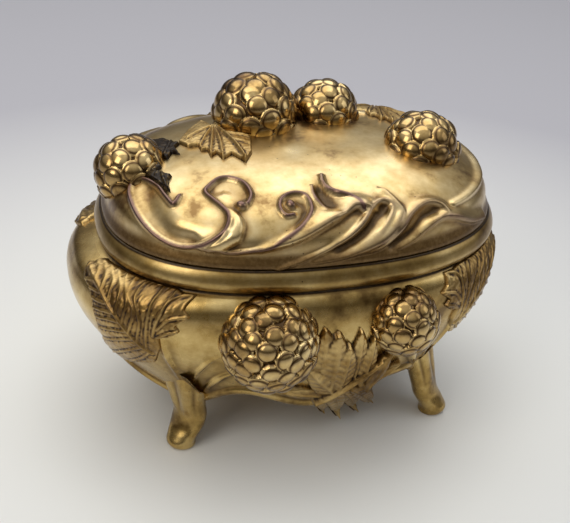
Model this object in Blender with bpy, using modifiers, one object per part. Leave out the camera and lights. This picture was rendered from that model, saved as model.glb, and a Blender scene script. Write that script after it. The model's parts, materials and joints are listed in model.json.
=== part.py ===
"""Vanity trinket box: a footed oval casket with a hinged dome lid, applied berries and leaves, and a silk lining.

Origin at the middle of the footprint on the table, +Z up, +X along the length, the front towards -Y.
"""

import math

import bmesh
import bpy
from mathutils import Matrix, Vector

MM = 0.001

# Plan and heights, in millimetres
LID_LENGTH = 140.0
LID_DEPTH = 104.0
PLAN_POWER = 2.4
SEAM_HEIGHT = 79.0
SEAM_GAP = 0.5
DOME_HEIGHT = 23.0
DOME_POWER = 2.7
BEAD_STANDOUT = 2.0
BEAD_BELOW_SEAM = 5.2
NECK_DRAW_IN = 0.4
NECK_BELOW_SEAM = 8.8
NECK_LEAN = 0.3
SHOULDER_BELOW_SEAM = 12.5
SHOULDER_LENGTH_DRAW_IN = 2.5
SHOULDER_DEPTH_DRAW_IN = 1.8
SHOULDER_LEAN = 2.9
BULGE_LENGTH = 156.0
BULGE_DEPTH = 112.0
BULGE_HEIGHT = 58.5
BULGE_LEAN = 5.2
WAIST_HEIGHT = 40.0
WAIST_LENGTH_DRAW_IN = 7.3
WAIST_DEPTH_DRAW_IN = 3.4
WAIST_LEAN = 5.7
BASE_LENGTH = 104.0
BASE_DEPTH = 79.0
BASE_LEAN = 4.4
ARCH_HEIGHT = 27.5
APRON_DROP = 13.0
APRON_SPAN = math.radians(21)

# Walls and clearances
WALL = 2.4
FIT = 0.3
PIN_FIT = 0.3
LINING_FIT = 1.4

# Mesh fineness
AROUND = 40
APRON_ROWS = 3
DOME_ROWS = 7
BERRY_FINENESS = 4
BERRY_KEEP = 0.7

# Base plate and soft lining
PLATE_ABOVE_ARCH = 2.5
PLATE_THICK = 1.5
LINING_THICK = 1.2
LINING_BELOW_SEAM = 3.0
CUSHION_EDGE = 6.0
CUSHION_CROWN = 4.0
PAD_THICK = 3.5
PAD_START = math.radians(12)

# Legs: the foot's place in plan, the ankle's step in on the diagonal, and the depth of the knee behind the skin
FOOT_ACROSS = 96.0
FOOT_DEEP = 67.6
ANKLE_HEIGHT = 11.0
ANKLE_OUT = -3.7
KNEE_ABOVE_ARCH = 0.5
KNEE_IN = 5.2
LEG_TOP_ABOVE_ARCH = 5.5
LEG_TOP_IN = 4.5
TOE_HEIGHT = 3.5
TOE_RADIUS = 5.1
ANKLE_RADIUS = 5.6
KNEE_RADIUS = 7.4
LEG_TOP_RADIUS = 5.0

# Hinge
HINGE_WIDTH = 30.0
CENTRE_KNUCKLE = 10.0
KNUCKLE_RADIUS = 2.6
PIN_RADIUS = 1.2
PIN_OVERHANG = 0.8
HINGE_STANDOFF = 1.2
HINGE_PLATE_HEIGHT = 7.0
HINGE_PLATE_THICK = 1.2
LID_LUG_HEIGHT = 5.0

# Berries on the body: radius, place across the front, and drop of the middle below the seam
LARGE_BERRY = 17.0
LARGE_BERRY_ACROSS = -22.5
LARGE_BERRY_DROP = 24.5
SMALL_BERRY = 12.5
SMALL_BERRY_ACROSS = 24.0
SMALL_BERRY_DROP = 22.0

# Berries on the lid: radius, place as shares of the half length and half depth, and lift off the dome
TOP_LEFT_BERRY = 15.5
TOP_LEFT_ACROSS = -0.171
TOP_LEFT_DEEP = 0.346
TOP_LEFT_LIFT = 4.0
TOP_RIGHT_BERRY = 13.0
TOP_RIGHT_ACROSS = 0.243
TOP_RIGHT_DEEP = 0.442
TOP_RIGHT_LIFT = 2.0
RIGHT_BERRY = 12.5
RIGHT_ACROSS = 0.614
RIGHT_DEEP = -0.115
RIGHT_BERRY_LIFT = -2.5
LEFT_BERRY = 12.0
LEFT_ACROSS = -0.85
LEFT_DEEP = 0.0
LEFT_BERRY_LIFT = -1.5
DRUPELET_RISE = 0.14
DRUPELETS = 64

# Leaves: each lobed leaf's middle, as shares of the half plan on the lid, and the reach of its longest lobe
SPRAY_ACROSS = 6.0
SPRAY_DROP = 47.0
SPRAY_REACH = 20.0
LID_LEAF_REACH = 0.093 * LID_LENGTH
TOP_LEAF_ACROSS = -0.4
TOP_LEAF_DEEP = -0.096
LEFT_LEAF_ACROSS = -0.614
LEFT_LEAF_DEEP = 0.154
RIGHT_LEAF_ACROSS = 0.586
RIGHT_LEAF_DEEP = 0.346
LEAF_CORE = 0.22
LOBE_HALF_ANGLE = 26.0
LEAF_THICK = 1.8
LEAF_STANDOFF = 0.7
LEAF_TEETH = 6
CORNER_TURN = math.radians(37)
CORNER_LEAF_ABOVE_LEG = 5.5
CORNER_LEAF_BELOW_SEAM = 13.5
CORNER_LEAF_SPREAD = 0.32

# Scroll ribs on the lid
SCROLL_RADIUS = 2.0
SCROLL_LIFT = 0.3

GOLD = (0.60, 0.42, 0.16, 1.0)
OLD_GOLD = (0.47, 0.31, 0.11, 1.0)
STEEL = (0.45, 0.44, 0.42, 1.0)
SILK = (0.78, 0.62, 0.55, 1.0)


def clear_scene():
    """Start from nothing: the parts and the cutters each get a collection."""
    for old in list(bpy.data.objects):
        bpy.data.objects.remove(old)
    made = []
    for name in ("trinket_box", "cutters"):
        collection = bpy.data.collections.new(name)
        bpy.context.scene.collection.children.link(collection)
        made.append(collection)
    return made


PARTS, CUTTERS = clear_scene()


def finish(name, colour, roughness, metallic):
    """A plain material for one family of pieces."""
    material = bpy.data.materials.new(name)
    material.use_nodes = True
    shader = material.node_tree.nodes["Principled BSDF"]
    shader.inputs["Base Color"].default_value = colour
    shader.inputs["Roughness"].default_value = roughness
    shader.inputs["Metallic"].default_value = metallic
    return material


CASTING = finish("gilt_casting", GOLD, 0.32, 1.0)
ORNAMENT = finish("gilt_ornament", OLD_GOLD, 0.38, 1.0)
HARDWARE = finish("steel_hardware", STEEL, 0.4, 1.0)
LINING = finish("silk_lining", SILK, 0.75, 0.0)


def add_part(name, mesh, material, collection=PARTS):
    """Wrap a mesh as a named object, shaded smooth with its sharp edges kept."""
    part = bpy.data.objects.new(name, mesh)
    collection.objects.link(part)
    if material:
        mesh.materials.append(material)
    mesh.shade_smooth()
    mesh.set_sharp_from_angle(angle=math.radians(40))
    return part


def as_cutter(part):
    """Hide a helper from renders."""
    part.hide_render = True
    part.display_type = "WIRE"
    return part


def boolean(part, other, operation):
    """Cut or join with the exact solver."""
    modifier = part.modifiers.new(operation.lower() + "_" + other.name, "BOOLEAN")
    modifier.operation = operation
    modifier.object = other
    modifier.solver = "EXACT"


def mesh_from_curve(curve_object):
    """The curve's solid as a closed mesh, in world space."""
    bpy.context.view_layer.update()
    graph = bpy.context.evaluated_depsgraph_get()
    mesh = bpy.data.meshes.new_from_object(curve_object.evaluated_get(graph))
    mesh.transform(curve_object.matrix_world)
    cage = bmesh.new()
    cage.from_mesh(mesh)
    bmesh.ops.remove_doubles(cage, verts=cage.verts, dist=0.00001)
    bmesh.ops.recalc_face_normals(cage, faces=cage.faces)
    cage.to_mesh(mesh)
    cage.free()
    bpy.data.objects.remove(curve_object)
    return mesh


# The body's outer form: height, half length, half depth and lean to the left, from the base edge to the seam
BODY_STATIONS = (
    (ARCH_HEIGHT - APRON_DROP, BASE_LENGTH / 2, BASE_DEPTH / 2, BASE_LEAN),
    (WAIST_HEIGHT, BULGE_LENGTH / 2 - WAIST_LENGTH_DRAW_IN, BULGE_DEPTH / 2 - WAIST_DEPTH_DRAW_IN, WAIST_LEAN),
    (BULGE_HEIGHT, BULGE_LENGTH / 2, BULGE_DEPTH / 2, BULGE_LEAN),
    (
        SEAM_HEIGHT - SHOULDER_BELOW_SEAM,
        BULGE_LENGTH / 2 - SHOULDER_LENGTH_DRAW_IN,
        BULGE_DEPTH / 2 - SHOULDER_DEPTH_DRAW_IN,
        SHOULDER_LEAN,
    ),
    (SEAM_HEIGHT - NECK_BELOW_SEAM, LID_LENGTH / 2 - NECK_DRAW_IN, LID_DEPTH / 2 - NECK_DRAW_IN, NECK_LEAN),
    (SEAM_HEIGHT - BEAD_BELOW_SEAM, LID_LENGTH / 2 + BEAD_STANDOUT, LID_DEPTH / 2 + BEAD_STANDOUT, 0.0),
    (SEAM_HEIGHT, LID_LENGTH / 2, LID_DEPTH / 2, 0.0),
)
LID_FOOT = SEAM_HEIGHT + SEAM_GAP
PLATE_HEIGHT = ARCH_HEIGHT + PLATE_ABOVE_ARCH
KNEE_HEIGHT = ARCH_HEIGHT + KNEE_ABOVE_ARCH
LEG_TOP_HEIGHT = ARCH_HEIGHT + LEG_TOP_ABOVE_ARCH
CORNER_LEAF_LOW = LEG_TOP_HEIGHT + CORNER_LEAF_ABOVE_LEG
CORNER_LEAF_HIGH = SEAM_HEIGHT - CORNER_LEAF_BELOW_SEAM
HINGE_Y = LID_DEPTH / 2 + BEAD_STANDOUT + HINGE_STANDOFF
HINGE_Z = SEAM_HEIGHT + SEAM_GAP / 2


def body_levels():
    """Heights of the rings above the apron: each station and the middle of each step between two."""
    heights = [station[0] for station in BODY_STATIONS[1:]]
    levels = []
    for low, high in zip(heights, heights[1:]):
        levels += [low, (low + high) / 2]
    return levels + [heights[-1]]


def body_half_sizes(height):
    """Half length, half depth and lean of the body's outside, by a smooth curve through the stations."""
    height = max(height, BODY_STATIONS[0][0])
    last = len(BODY_STATIONS) - 1
    at = 0
    while at < last - 1 and height > BODY_STATIONS[at + 1][0]:
        at += 1
    before, low, high, after = (BODY_STATIONS[min(last, max(0, at + k))] for k in (-1, 0, 1, 2))
    share = (height - low[0]) / (high[0] - low[0])
    sizes = []
    for axis in (1, 2, 3):
        rise_low = (high[axis] - before[axis]) / (high[0] - before[0]) * (high[0] - low[0])
        rise_high = (after[axis] - low[axis]) / (after[0] - low[0]) * (high[0] - low[0])
        s2, s3 = share**2, share**3
        sizes.append(
            (2 * s3 - 3 * s2 + 1) * low[axis]
            + (s3 - 2 * s2 + share) * rise_low
            + (3 * s2 - 2 * s3) * high[axis]
            + (s3 - s2) * rise_high
        )
    return sizes


def body_reach(side, height):
    """Half length on the side that a sign names, and half depth."""
    half_length, half_depth, lean = body_half_sizes(height)
    return half_length - math.copysign(lean, side), half_depth


def plan_point(turn, half_length, half_depth):
    """A point of the oval plan at a turn round the box, in radians from +X."""
    c, s = math.cos(turn), math.sin(turn)
    power = 2 / PLAN_POWER
    x = math.copysign(abs(c) ** power, c) * half_length
    y = math.copysign(abs(s) ** power, s) * half_depth
    return x, y


def body_skin(turn, height):
    """A point on the body's outside."""
    x, y = plan_point(turn, *body_reach(math.cos(turn), height))
    return Vector((x, y, height))


def body_normal(turn, height, step=0.02, rise=0.3):
    """The outward normal of the body's outside."""
    across = body_skin(turn + step, height) - body_skin(turn - step, height)
    up = body_skin(turn, height + rise) - body_skin(turn, height - rise)
    return across.cross(up).normalized()


def dome_skin(turn, rise):
    """A point on the lid's outside: rise is 0 at the seam and a quarter turn at the crown."""
    spread = math.cos(rise) ** (2 / DOME_POWER)
    lift = math.sin(rise) ** (2 / DOME_POWER)
    x, y = plan_point(turn, LID_LENGTH / 2 * spread, LID_DEPTH / 2 * spread)
    return Vector((x, y, LID_FOOT + DOME_HEIGHT * lift))


def dome_normal(turn, rise, step=0.02):
    """The outward normal of the lid's outside."""
    across = dome_skin(turn + step, rise) - dome_skin(turn - step, rise)
    up = dome_skin(turn, rise + step) - dome_skin(turn, max(0.001, rise - step))
    return across.cross(up).normalized()


def dome_over(x, y):
    """The point of the lid's outside over a place in plan, and its normal."""
    def skin(px, py):
        ratio = abs(2 * px / LID_LENGTH) ** PLAN_POWER + abs(2 * py / LID_DEPTH) ** PLAN_POWER
        spread = min(0.9999, ratio ** (1 / PLAN_POWER))
        return Vector((px, py, LID_FOOT + DOME_HEIGHT * (1 - spread**DOME_POWER) ** (1 / DOME_POWER)))
    along = skin(x + 0.5, y) - skin(x - 0.5, y)
    deep = skin(x, y + 0.5) - skin(x, y - 0.5)
    return skin(x, y), along.cross(deep).normalized()


def body_front(x, height):
    """The point of the body's front over a place across it, and its normal."""
    def skin(px, pz):
        half_length, half_depth = body_reach(px, pz)
        inside = max(0.0, 1 - abs(px / half_length) ** PLAN_POWER)
        return Vector((px, -half_depth * inside ** (1 / PLAN_POWER), pz))
    along = skin(x + 0.5, height) - skin(x - 0.5, height)
    up = skin(x, height + 0.5) - skin(x, height - 0.5)
    return skin(x, height), along.cross(up).normalized()


def apron_edge(turn):
    """Height of the body's lower edge, which hangs down in a lobe at the middle of the front and the back."""
    away = abs(turn % math.pi - math.pi / 2)
    share = min(1.0, away / APRON_SPAN)
    return ARCH_HEIGHT - APRON_DROP * (1 - share * share * (3 - 2 * share))


def turns():
    """The turns of one ring, started half a step off the axis."""
    return [2 * math.pi * (k + 0.5) / AROUND for k in range(AROUND)]


def body_ring(height_at, offset):
    """One ring round the body's skin, moved level by as much as gives the offset square to the wall."""
    ring = []
    for turn in turns():
        height = height_at(turn)
        normal = body_normal(turn, height)
        level = Vector((normal.x, normal.y, 0.0))
        ring.append((body_skin(turn, height) + level * (offset / level.length_squared)) * MM)
    return ring


def body_rings(offset, low=None, high=SEAM_HEIGHT):
    """Rings up the body's skin. Without a low height they start on the waved apron edge."""
    levels = [level for level in body_levels() if (low is None or level > low + WALL) and level < high - WALL]
    rings = []
    if low is None:
        for row in range(APRON_ROWS):
            def height_at(turn, share=row / APRON_ROWS):
                edge = apron_edge(turn)
                return edge + (WAIST_HEIGHT - edge) * share
            rings.append(body_ring(height_at, offset))
    else:
        levels = [low] + levels
    for level in levels + [high]:
        rings.append(body_ring(lambda turn, height=level: height, offset))
    return rings


def dome_rings(offset, low=0.0):
    """Rings up the lid's skin, from the seam to a small ring at the crown; the lowest ring is level."""
    high = math.radians(84)
    rings = []
    for row in range(DOME_ROWS + 1):
        rise = low + (high - low) * row / DOME_ROWS
        ring = []
        for turn in turns():
            if rise < 0.01:
                normal = dome_normal(turn, 0.02)
                normal.z = 0.0
                ring.append((dome_skin(turn, 0.0) + normal.normalized() * offset) * MM)
            else:
                ring.append((dome_skin(turn, rise) + dome_normal(turn, rise) * offset) * MM)
        rings.append(ring)
    return rings


def loft(name, rings, bottom=False, top=False):
    """A mesh that joins rings of equal count, with caps where asked."""
    cage = bmesh.new()
    levels = [[cage.verts.new(point) for point in ring] for ring in rings]
    for low, high in zip(levels, levels[1:]):
        for k in range(len(low)):
            after = (k + 1) % len(low)
            cage.faces.new((low[k], low[after], high[after], high[k]))
    if bottom:
        cage.faces.new(list(reversed(levels[0])))
    if top:
        cage.faces.new(levels[-1])
    mesh = bpy.data.meshes.new(name)
    cage.to_mesh(mesh)
    cage.free()
    return mesh


def shrink(ring, share, height):
    """A ring drawn in towards its middle and laid level at a height in millimetres."""
    return [Vector((point.x * share, point.y * share, height * MM)) for point in ring]


def thicken(part, thickness, offset=-1.0):
    """Give an open skin its wall."""
    modifier = part.modifiers.new("wall", "SOLIDIFY")
    modifier.thickness = thickness * MM
    modifier.offset = offset
    modifier.use_even_offset = True


def tube(name, path, resolution=2):
    """A round bar through points, in millimetres, with the radius as each point's fourth value."""
    curve = bpy.data.curves.new(name, "CURVE")
    curve.dimensions = "3D"
    curve.bevel_depth = MM
    curve.bevel_resolution = resolution
    curve.use_fill_caps = True
    spline = curve.splines.new("POLY")
    spline.points.add(len(path) - 1)
    for knot, point in zip(spline.points, path):
        knot.co = (*(Vector(point[:3]) * MM), 1.0)
        knot.radius = point[3]
    made = bpy.data.objects.new(name, curve)
    bpy.context.scene.collection.objects.link(made)
    return mesh_from_curve(made)


def through(points, steps):
    """Values along a smooth curve through a few chosen points."""
    last = len(points) - 1
    fine = []
    for at in range(last):
        a, b, c, d = (points[min(last, max(0, at + k))] for k in (-1, 0, 1, 2))
        for step in range(steps):
            t = step / steps
            value = []
            for i in range(len(b)):
                square = 2 * a[i] - 5 * b[i] + 4 * c[i] - d[i]
                cube = 3 * b[i] - a[i] - 3 * c[i] + d[i]
                value.append(0.5 * (2 * b[i] + (c[i] - a[i]) * t + square * t**2 + cube * t**3))
            fine.append(tuple(value))
    fine.append(tuple(points[-1]))
    return fine


def cylinder_x(name, radius, length, centre_x=0.0, segments=20):
    """A round bar on the hinge axis."""
    cage = bmesh.new()
    bmesh.ops.create_cone(
        cage, cap_ends=True, segments=segments, radius1=radius * MM, radius2=radius * MM, depth=length * MM
    )
    mesh = bpy.data.meshes.new(name)
    cage.to_mesh(mesh)
    cage.free()
    mesh.transform(Matrix.Rotation(math.pi / 2, 4, "Y"))
    mesh.transform(Matrix.Translation(Vector((centre_x, HINGE_Y, HINGE_Z)) * MM))
    return mesh


def block(name, low, high):
    """A box between two corners in millimetres."""
    cage = bmesh.new()
    bmesh.ops.create_cube(cage, size=1.0)
    size = Vector(high) - Vector(low)
    middle = (Vector(high) + Vector(low)) / 2
    bmesh.ops.scale(cage, vec=size * MM, verts=cage.verts)
    bmesh.ops.translate(cage, vec=middle * MM, verts=cage.verts)
    mesh = bpy.data.meshes.new(name)
    cage.to_mesh(mesh)
    cage.free()
    return mesh


def cutter(name, mesh):
    """A helper solid for cutting or joining."""
    return as_cutter(add_part(name, mesh, None, CUTTERS))


def body_envelope():
    """The body's outside with a running gap, to trim whatever sits against it."""
    rings = body_rings(FIT)
    return cutter("body_envelope", loft("body_envelope", [shrink(rings[0], 0.5, ARCH_HEIGHT)] + rings, True, True))


def lid_envelope():
    """The lid's outside with a running gap, to trim the lid's ornaments."""
    return cutter("lid_envelope", loft("lid_envelope", dome_rings(FIT), True, True))


def body_shell():
    """The cast bombe body, open above and below, and the plate that closes its foot."""
    part = add_part("body_shell", loft("body_shell", body_rings(0.0)), CASTING)
    thicken(part, WALL)
    low = PLATE_HEIGHT - PLATE_THICK / 2
    plate = body_rings(-WALL - FIT, low, low + PLATE_THICK)
    add_part("base_plate", loft("base_plate", plate, True, True), CASTING)


def soft_lining():
    """Silk on the walls and a crowned cushion on the base plate."""
    floor = PLATE_HEIGHT + PLATE_THICK / 2 + FIT
    wall = body_rings(-WALL - LINING_FIT, floor, SEAM_HEIGHT - LINING_BELOW_SEAM)
    thicken(add_part("wall_lining", loft("wall_lining", wall), LINING), LINING_THICK)
    inset = -WALL - LINING_FIT - LINING_THICK - FIT
    sides = body_rings(inset, floor, floor + CUSHION_EDGE)
    top = floor + CUSHION_EDGE
    crown = [shrink(sides[-1], share, top + CUSHION_CROWN * (1 - share**2)) for share in (0.88, 0.6, 0.25)]
    add_part("floor_cushion", loft("floor_cushion", sides + crown, True, True), LINING)


def leg(name, side, end, envelope):
    """A cabriole leg on the diagonal, its sole flat on the table."""
    foot = Vector((side * FOOT_ACROSS / 2, end * FOOT_DEEP / 2, 0.0))
    out = foot.normalized()

    def behind_skin(height, depth):
        half_length, half_depth = body_reach(side, height)
        ratio = abs(out.x / half_length) ** PLAN_POWER + abs(out.y / half_depth) ** PLAN_POWER
        return ratio ** (-1 / PLAN_POWER) - depth - foot.length

    stations = (
        (-4.0, 0.5, TOE_RADIUS * 0.8),
        (TOE_HEIGHT, 0.0, TOE_RADIUS),
        (ANKLE_HEIGHT, ANKLE_OUT, ANKLE_RADIUS),
        (KNEE_HEIGHT, behind_skin(KNEE_HEIGHT, KNEE_IN), KNEE_RADIUS),
        (LEG_TOP_HEIGHT, behind_skin(LEG_TOP_HEIGHT, LEG_TOP_IN), LEG_TOP_RADIUS),
    )
    path = []
    for height, standing, radius in through(stations, 3):
        place = foot + out * standing
        path.append((place.x, place.y, height, radius))
    mesh = tube(name, path)
    cage = bmesh.new()
    cage.from_mesh(mesh)
    geometry = cage.verts[:] + cage.edges[:] + cage.faces[:]
    cut = bmesh.ops.bisect_plane(cage, geom=geometry, plane_co=(0, 0, 0), plane_no=(0, 0, 1), clear_inner=True)
    rim = [item for item in cut["geom_cut"] if isinstance(item, bmesh.types.BMEdge)]
    bmesh.ops.holes_fill(cage, edges=rim)
    bmesh.ops.recalc_face_normals(cage, faces=cage.faces)
    cage.to_mesh(mesh)
    cage.free()
    boolean(add_part(name, mesh, CASTING), envelope, "DIFFERENCE")


def berry(name, centre, radius, envelope, flip=1.0):
    """A cluster of drupelets, trimmed where it sits on the box."""
    golden = math.pi * (3 - math.sqrt(5))
    seeds = []
    for k in range(DRUPELETS):
        z = 1 - (2 * k + 1) / DRUPELETS
        level = math.sqrt(1 - z * z)
        seeds.append(Vector((level * math.cos(golden * k), level * math.sin(golden * k), z)))
    reach = math.sqrt(4 * math.pi / DRUPELETS) * 0.56
    cage = bmesh.new()
    bmesh.ops.create_icosphere(cage, subdivisions=BERRY_FINENESS, radius=1.0)
    for vertex in cage.verts:
        way = vertex.co.normalized()
        apart = min(way.angle(seed) for seed in seeds)
        swell = math.sqrt(max(0.0, 1 - (apart / reach) ** 2 * 0.9))
        vertex.co = way * (1 - DRUPELET_RISE * (1 - swell))
    mesh = bpy.data.meshes.new(name)
    cage.to_mesh(mesh)
    cage.free()
    mesh.transform(Matrix.Scale(radius * MM, 4))
    place = Vector((centre[0], centre[1] * flip, centre[2]))
    mesh.transform(Matrix.Translation(place * MM))
    part = add_part(name, mesh, ORNAMENT)
    thin = part.modifiers.new("fewer_facets", "DECIMATE")
    thin.ratio = BERRY_KEEP
    boolean(part, envelope, "DIFFERENCE")


def skin_sheet(name, cage, place):
    """A sheet laid on a skin: each flat vertex goes to its place, then the sheet gets its thickness outward."""
    for vertex in cage.verts:
        point, normal = place(vertex.co.x, vertex.co.y)
        vertex.co = (point + normal * LEAF_STANDOFF) * MM
    cage.normal_update()
    face = max(cage.faces, key=lambda item: item.calc_area())
    middle = face.calc_center_median() - Vector((0, 0, SEAM_HEIGHT * 0.7)) * MM
    if face.normal.dot(middle) < 0:
        bmesh.ops.reverse_faces(cage, faces=cage.faces)
    mesh = bpy.data.meshes.new(name)
    cage.to_mesh(mesh)
    cage.free()
    thicken(add_part(name, mesh, ORNAMENT), LEAF_THICK, 1.0)


def corner_leaf(name, side, end):
    """A toothed leaf that clasps one corner of the body, narrow at the leg and wide under the rim."""
    cage = bmesh.new()
    bmesh.ops.create_grid(cage, x_segments=4, y_segments=2 * LEAF_TEETH, size=1.0)

    def place(across, along):
        share = (along + 1) / 2
        tooth = 0.86 if round(share * 2 * LEAF_TEETH) % 2 else 1.0
        width = CORNER_LEAF_SPREAD * (0.12 + 0.88 * math.sin(math.pi / 2 * min(1.0, 1.35 * share))) * tooth
        turn = CORNER_TURN + across * width
        turn = turn if side > 0 else math.pi - turn
        turn = turn if end > 0 else -turn
        height = CORNER_LEAF_LOW + (CORNER_LEAF_HIGH - CORNER_LEAF_LOW) * share
        return body_skin(turn, height), body_normal(turn, height)

    skin_sheet(name, cage, place)


def lobed_leaf(name, lobes, longest, place, around=36):
    """A leaf of pointed lobes about its middle: each lobe is a bearing in degrees and a share of the longest."""
    cage = bmesh.new()
    centre = cage.verts.new((0, 0, 0))
    inner, outer = [], []
    for k in range(around):
        bearing = 360 * k / around
        reach = LEAF_CORE
        for lobe, share in lobes:
            apart = abs((bearing - lobe + 180) % 360 - 180)
            reach = max(reach, LEAF_CORE + (share - LEAF_CORE) * max(0.0, 1 - apart / LOBE_HALF_ANGLE))
        way = Vector((math.cos(math.radians(bearing)), math.sin(math.radians(bearing)), 0)) * longest
        inner.append(cage.verts.new(way * reach / 2))
        outer.append(cage.verts.new(way * reach))
    for k in range(around):
        after = (k + 1) % around
        cage.faces.new((centre, inner[k], inner[after]))
        cage.faces.new((inner[k], outer[k], outer[after], inner[after]))
    skin_sheet(name, cage, place)


def lid_leaf(name, x, y, lobes):
    """A lobed leaf laid on the dome."""
    lobed_leaf(name, lobes, LID_LEAF_REACH, lambda u, v: dome_over(x + u, y + v))


def spray(name, x, height, lobes, flip=1.0):
    """A lobed leaf laid on the front of the body, or on the back by a half turn."""
    def place(u, v):
        point, normal = body_front(flip * (x + u), height + v)
        to_back = Vector((1.0, flip, 1.0))
        return point * to_back, normal * to_back
    lobed_leaf(name, lobes, SPRAY_REACH, place)


def lid_shell(envelope):
    """The cast dome with its scroll ribs raised in one with it; their knots are shares of the half plan."""
    part = add_part("lid_shell", loft("lid_shell", dome_rings(0.0), top=True), CASTING)
    thicken(part, WALL)
    ribs = (
        ("rib_crescent", (
            (-0.76, -0.48), (-0.83, -0.31), (-0.89, -0.35), (-0.86, -0.56),
            (-0.73, -0.73), (-0.59, -0.81), (-0.49, -0.77),
        )),
        ("rib_ess", ((-0.51, -0.71), (-0.56, -0.62), (-0.49, -0.52), (-0.40, -0.58), (-0.39, -0.71))),
        ("rib_volute", (
            (-0.37, -0.88), (-0.24, -0.90), (-0.14, -0.87),
            (-0.11, -0.77), (-0.17, -0.71), (-0.23, -0.77),
        )),
        ("rib_wave", ((-0.01, -0.62), (0.03, -0.73), (0.11, -0.83), (0.03, -0.88), (-0.10, -0.92))),
        ("rib_fold", ((-0.03, -0.94), (0.10, -0.90), (0.17, -0.83), (0.26, -0.81), (0.29, -0.85))),
        ("rib_edge", (
            (0.34, -0.87), (0.44, -0.83), (0.56, -0.81), (0.67, -0.77),
            (0.79, -0.65), (0.87, -0.48), (0.91, -0.36),
        )),
    )
    for name, knots in ribs:
        for flip in (1, -1):
            path = []
            for x, y in through(knots, 2):
                point, normal = dome_over(flip * x * LID_LENGTH / 2, flip * y * LID_DEPTH / 2)
                path.append(point + normal * SCROLL_LIFT)
            for solid, radius in ((part, SCROLL_RADIUS), (envelope, SCROLL_RADIUS + FIT)):
                rib = cutter(name, tube(name, [(*point, radius) for point in path], 1))
                boolean(solid, rib, "UNION")


def lid_pad():
    """The padded silk inside of the lid."""
    part = add_part("lid_pad", loft("lid_pad", dome_rings(-WALL - FIT, PAD_START), top=True), LINING)
    thicken(part, PAD_THICK)


def hinge(body_trim, lid_trim):
    """A three-knuckle hinge on the back rim, with its pin on the joint axis."""
    bore = cutter("pin_bore", cylinder_x("pin_bore", PIN_RADIUS + PIN_FIT, HINGE_WIDTH + 2 * WALL))
    sweep = cutter("centre_sweep", cylinder_x("centre_sweep", KNUCKLE_RADIUS + FIT, CENTRE_KNUCKLE + 2 * FIT))
    half = HINGE_WIDTH / 2
    thick = HINGE_PLATE_THICK / 2
    low = (-half, HINGE_Y - thick, HINGE_Z - HINGE_PLATE_HEIGHT - KNUCKLE_RADIUS)
    high = (half, HINGE_Y + thick, HINGE_Z - KNUCKLE_RADIUS + 0.8)
    plate = add_part("hinge_body_leaf", block("hinge_body_leaf", low, high), HARDWARE)
    outer = half - CENTRE_KNUCKLE / 2 - FIT
    boolean(plate, sweep, "DIFFERENCE")
    for name, sign in (("knuckle_left", -1), ("knuckle_right", 1)):
        middle = sign * (half - outer / 2)
        boolean(plate, cutter(name, cylinder_x(name, KNUCKLE_RADIUS, outer, middle)), "UNION")
    boolean(plate, bore, "DIFFERENCE")
    boolean(plate, body_trim, "DIFFERENCE")
    boolean(plate, lid_trim, "DIFFERENCE")
    reach = CENTRE_KNUCKLE / 2
    low = (-reach, LID_DEPTH / 2 - 3.0, HINGE_Z + SEAM_GAP)
    high = (reach, HINGE_Y + thick, HINGE_Z + LID_LUG_HEIGHT)
    lug = add_part("hinge_lid_leaf", block("hinge_lid_leaf", low, high), HARDWARE)
    boolean(lug, cutter("knuckle_centre", cylinder_x("knuckle_centre", KNUCKLE_RADIUS, CENTRE_KNUCKLE)), "UNION")
    boolean(lug, bore, "DIFFERENCE")
    boolean(lug, lid_trim, "DIFFERENCE")
    boolean(lug, body_trim, "DIFFERENCE")
    add_part("hinge_pin", cylinder_x("hinge_pin", PIN_RADIUS, HINGE_WIDTH + 2 * PIN_OVERHANG), HARDWARE)


def hang_lid():
    """Hang every lid piece on an empty that sits on the hinge axis."""
    axis = bpy.data.objects.new("lid_axis", None)
    axis.location = Vector((0, HINGE_Y, HINGE_Z)) * MM
    PARTS.objects.link(axis)
    bpy.context.view_layer.update()
    for part in PARTS.objects:
        if part.name.startswith("lid_") and part is not axis or part.name == "hinge_lid_leaf":
            part.parent = axis
            part.matrix_parent_inverse = axis.matrix_world.inverted()


def stand_on_middle():
    """Move the box so that the origin is under the middle of its length, since the bulge leans to the left."""
    middle = bpy.data.objects.new("middle", None)
    middle.location.x = BULGE_LEAN * MM
    PARTS.objects.link(middle)
    for thing in (*PARTS.objects, *CUTTERS.objects):
        if thing.parent is None and thing is not middle:
            thing.parent = middle


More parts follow.
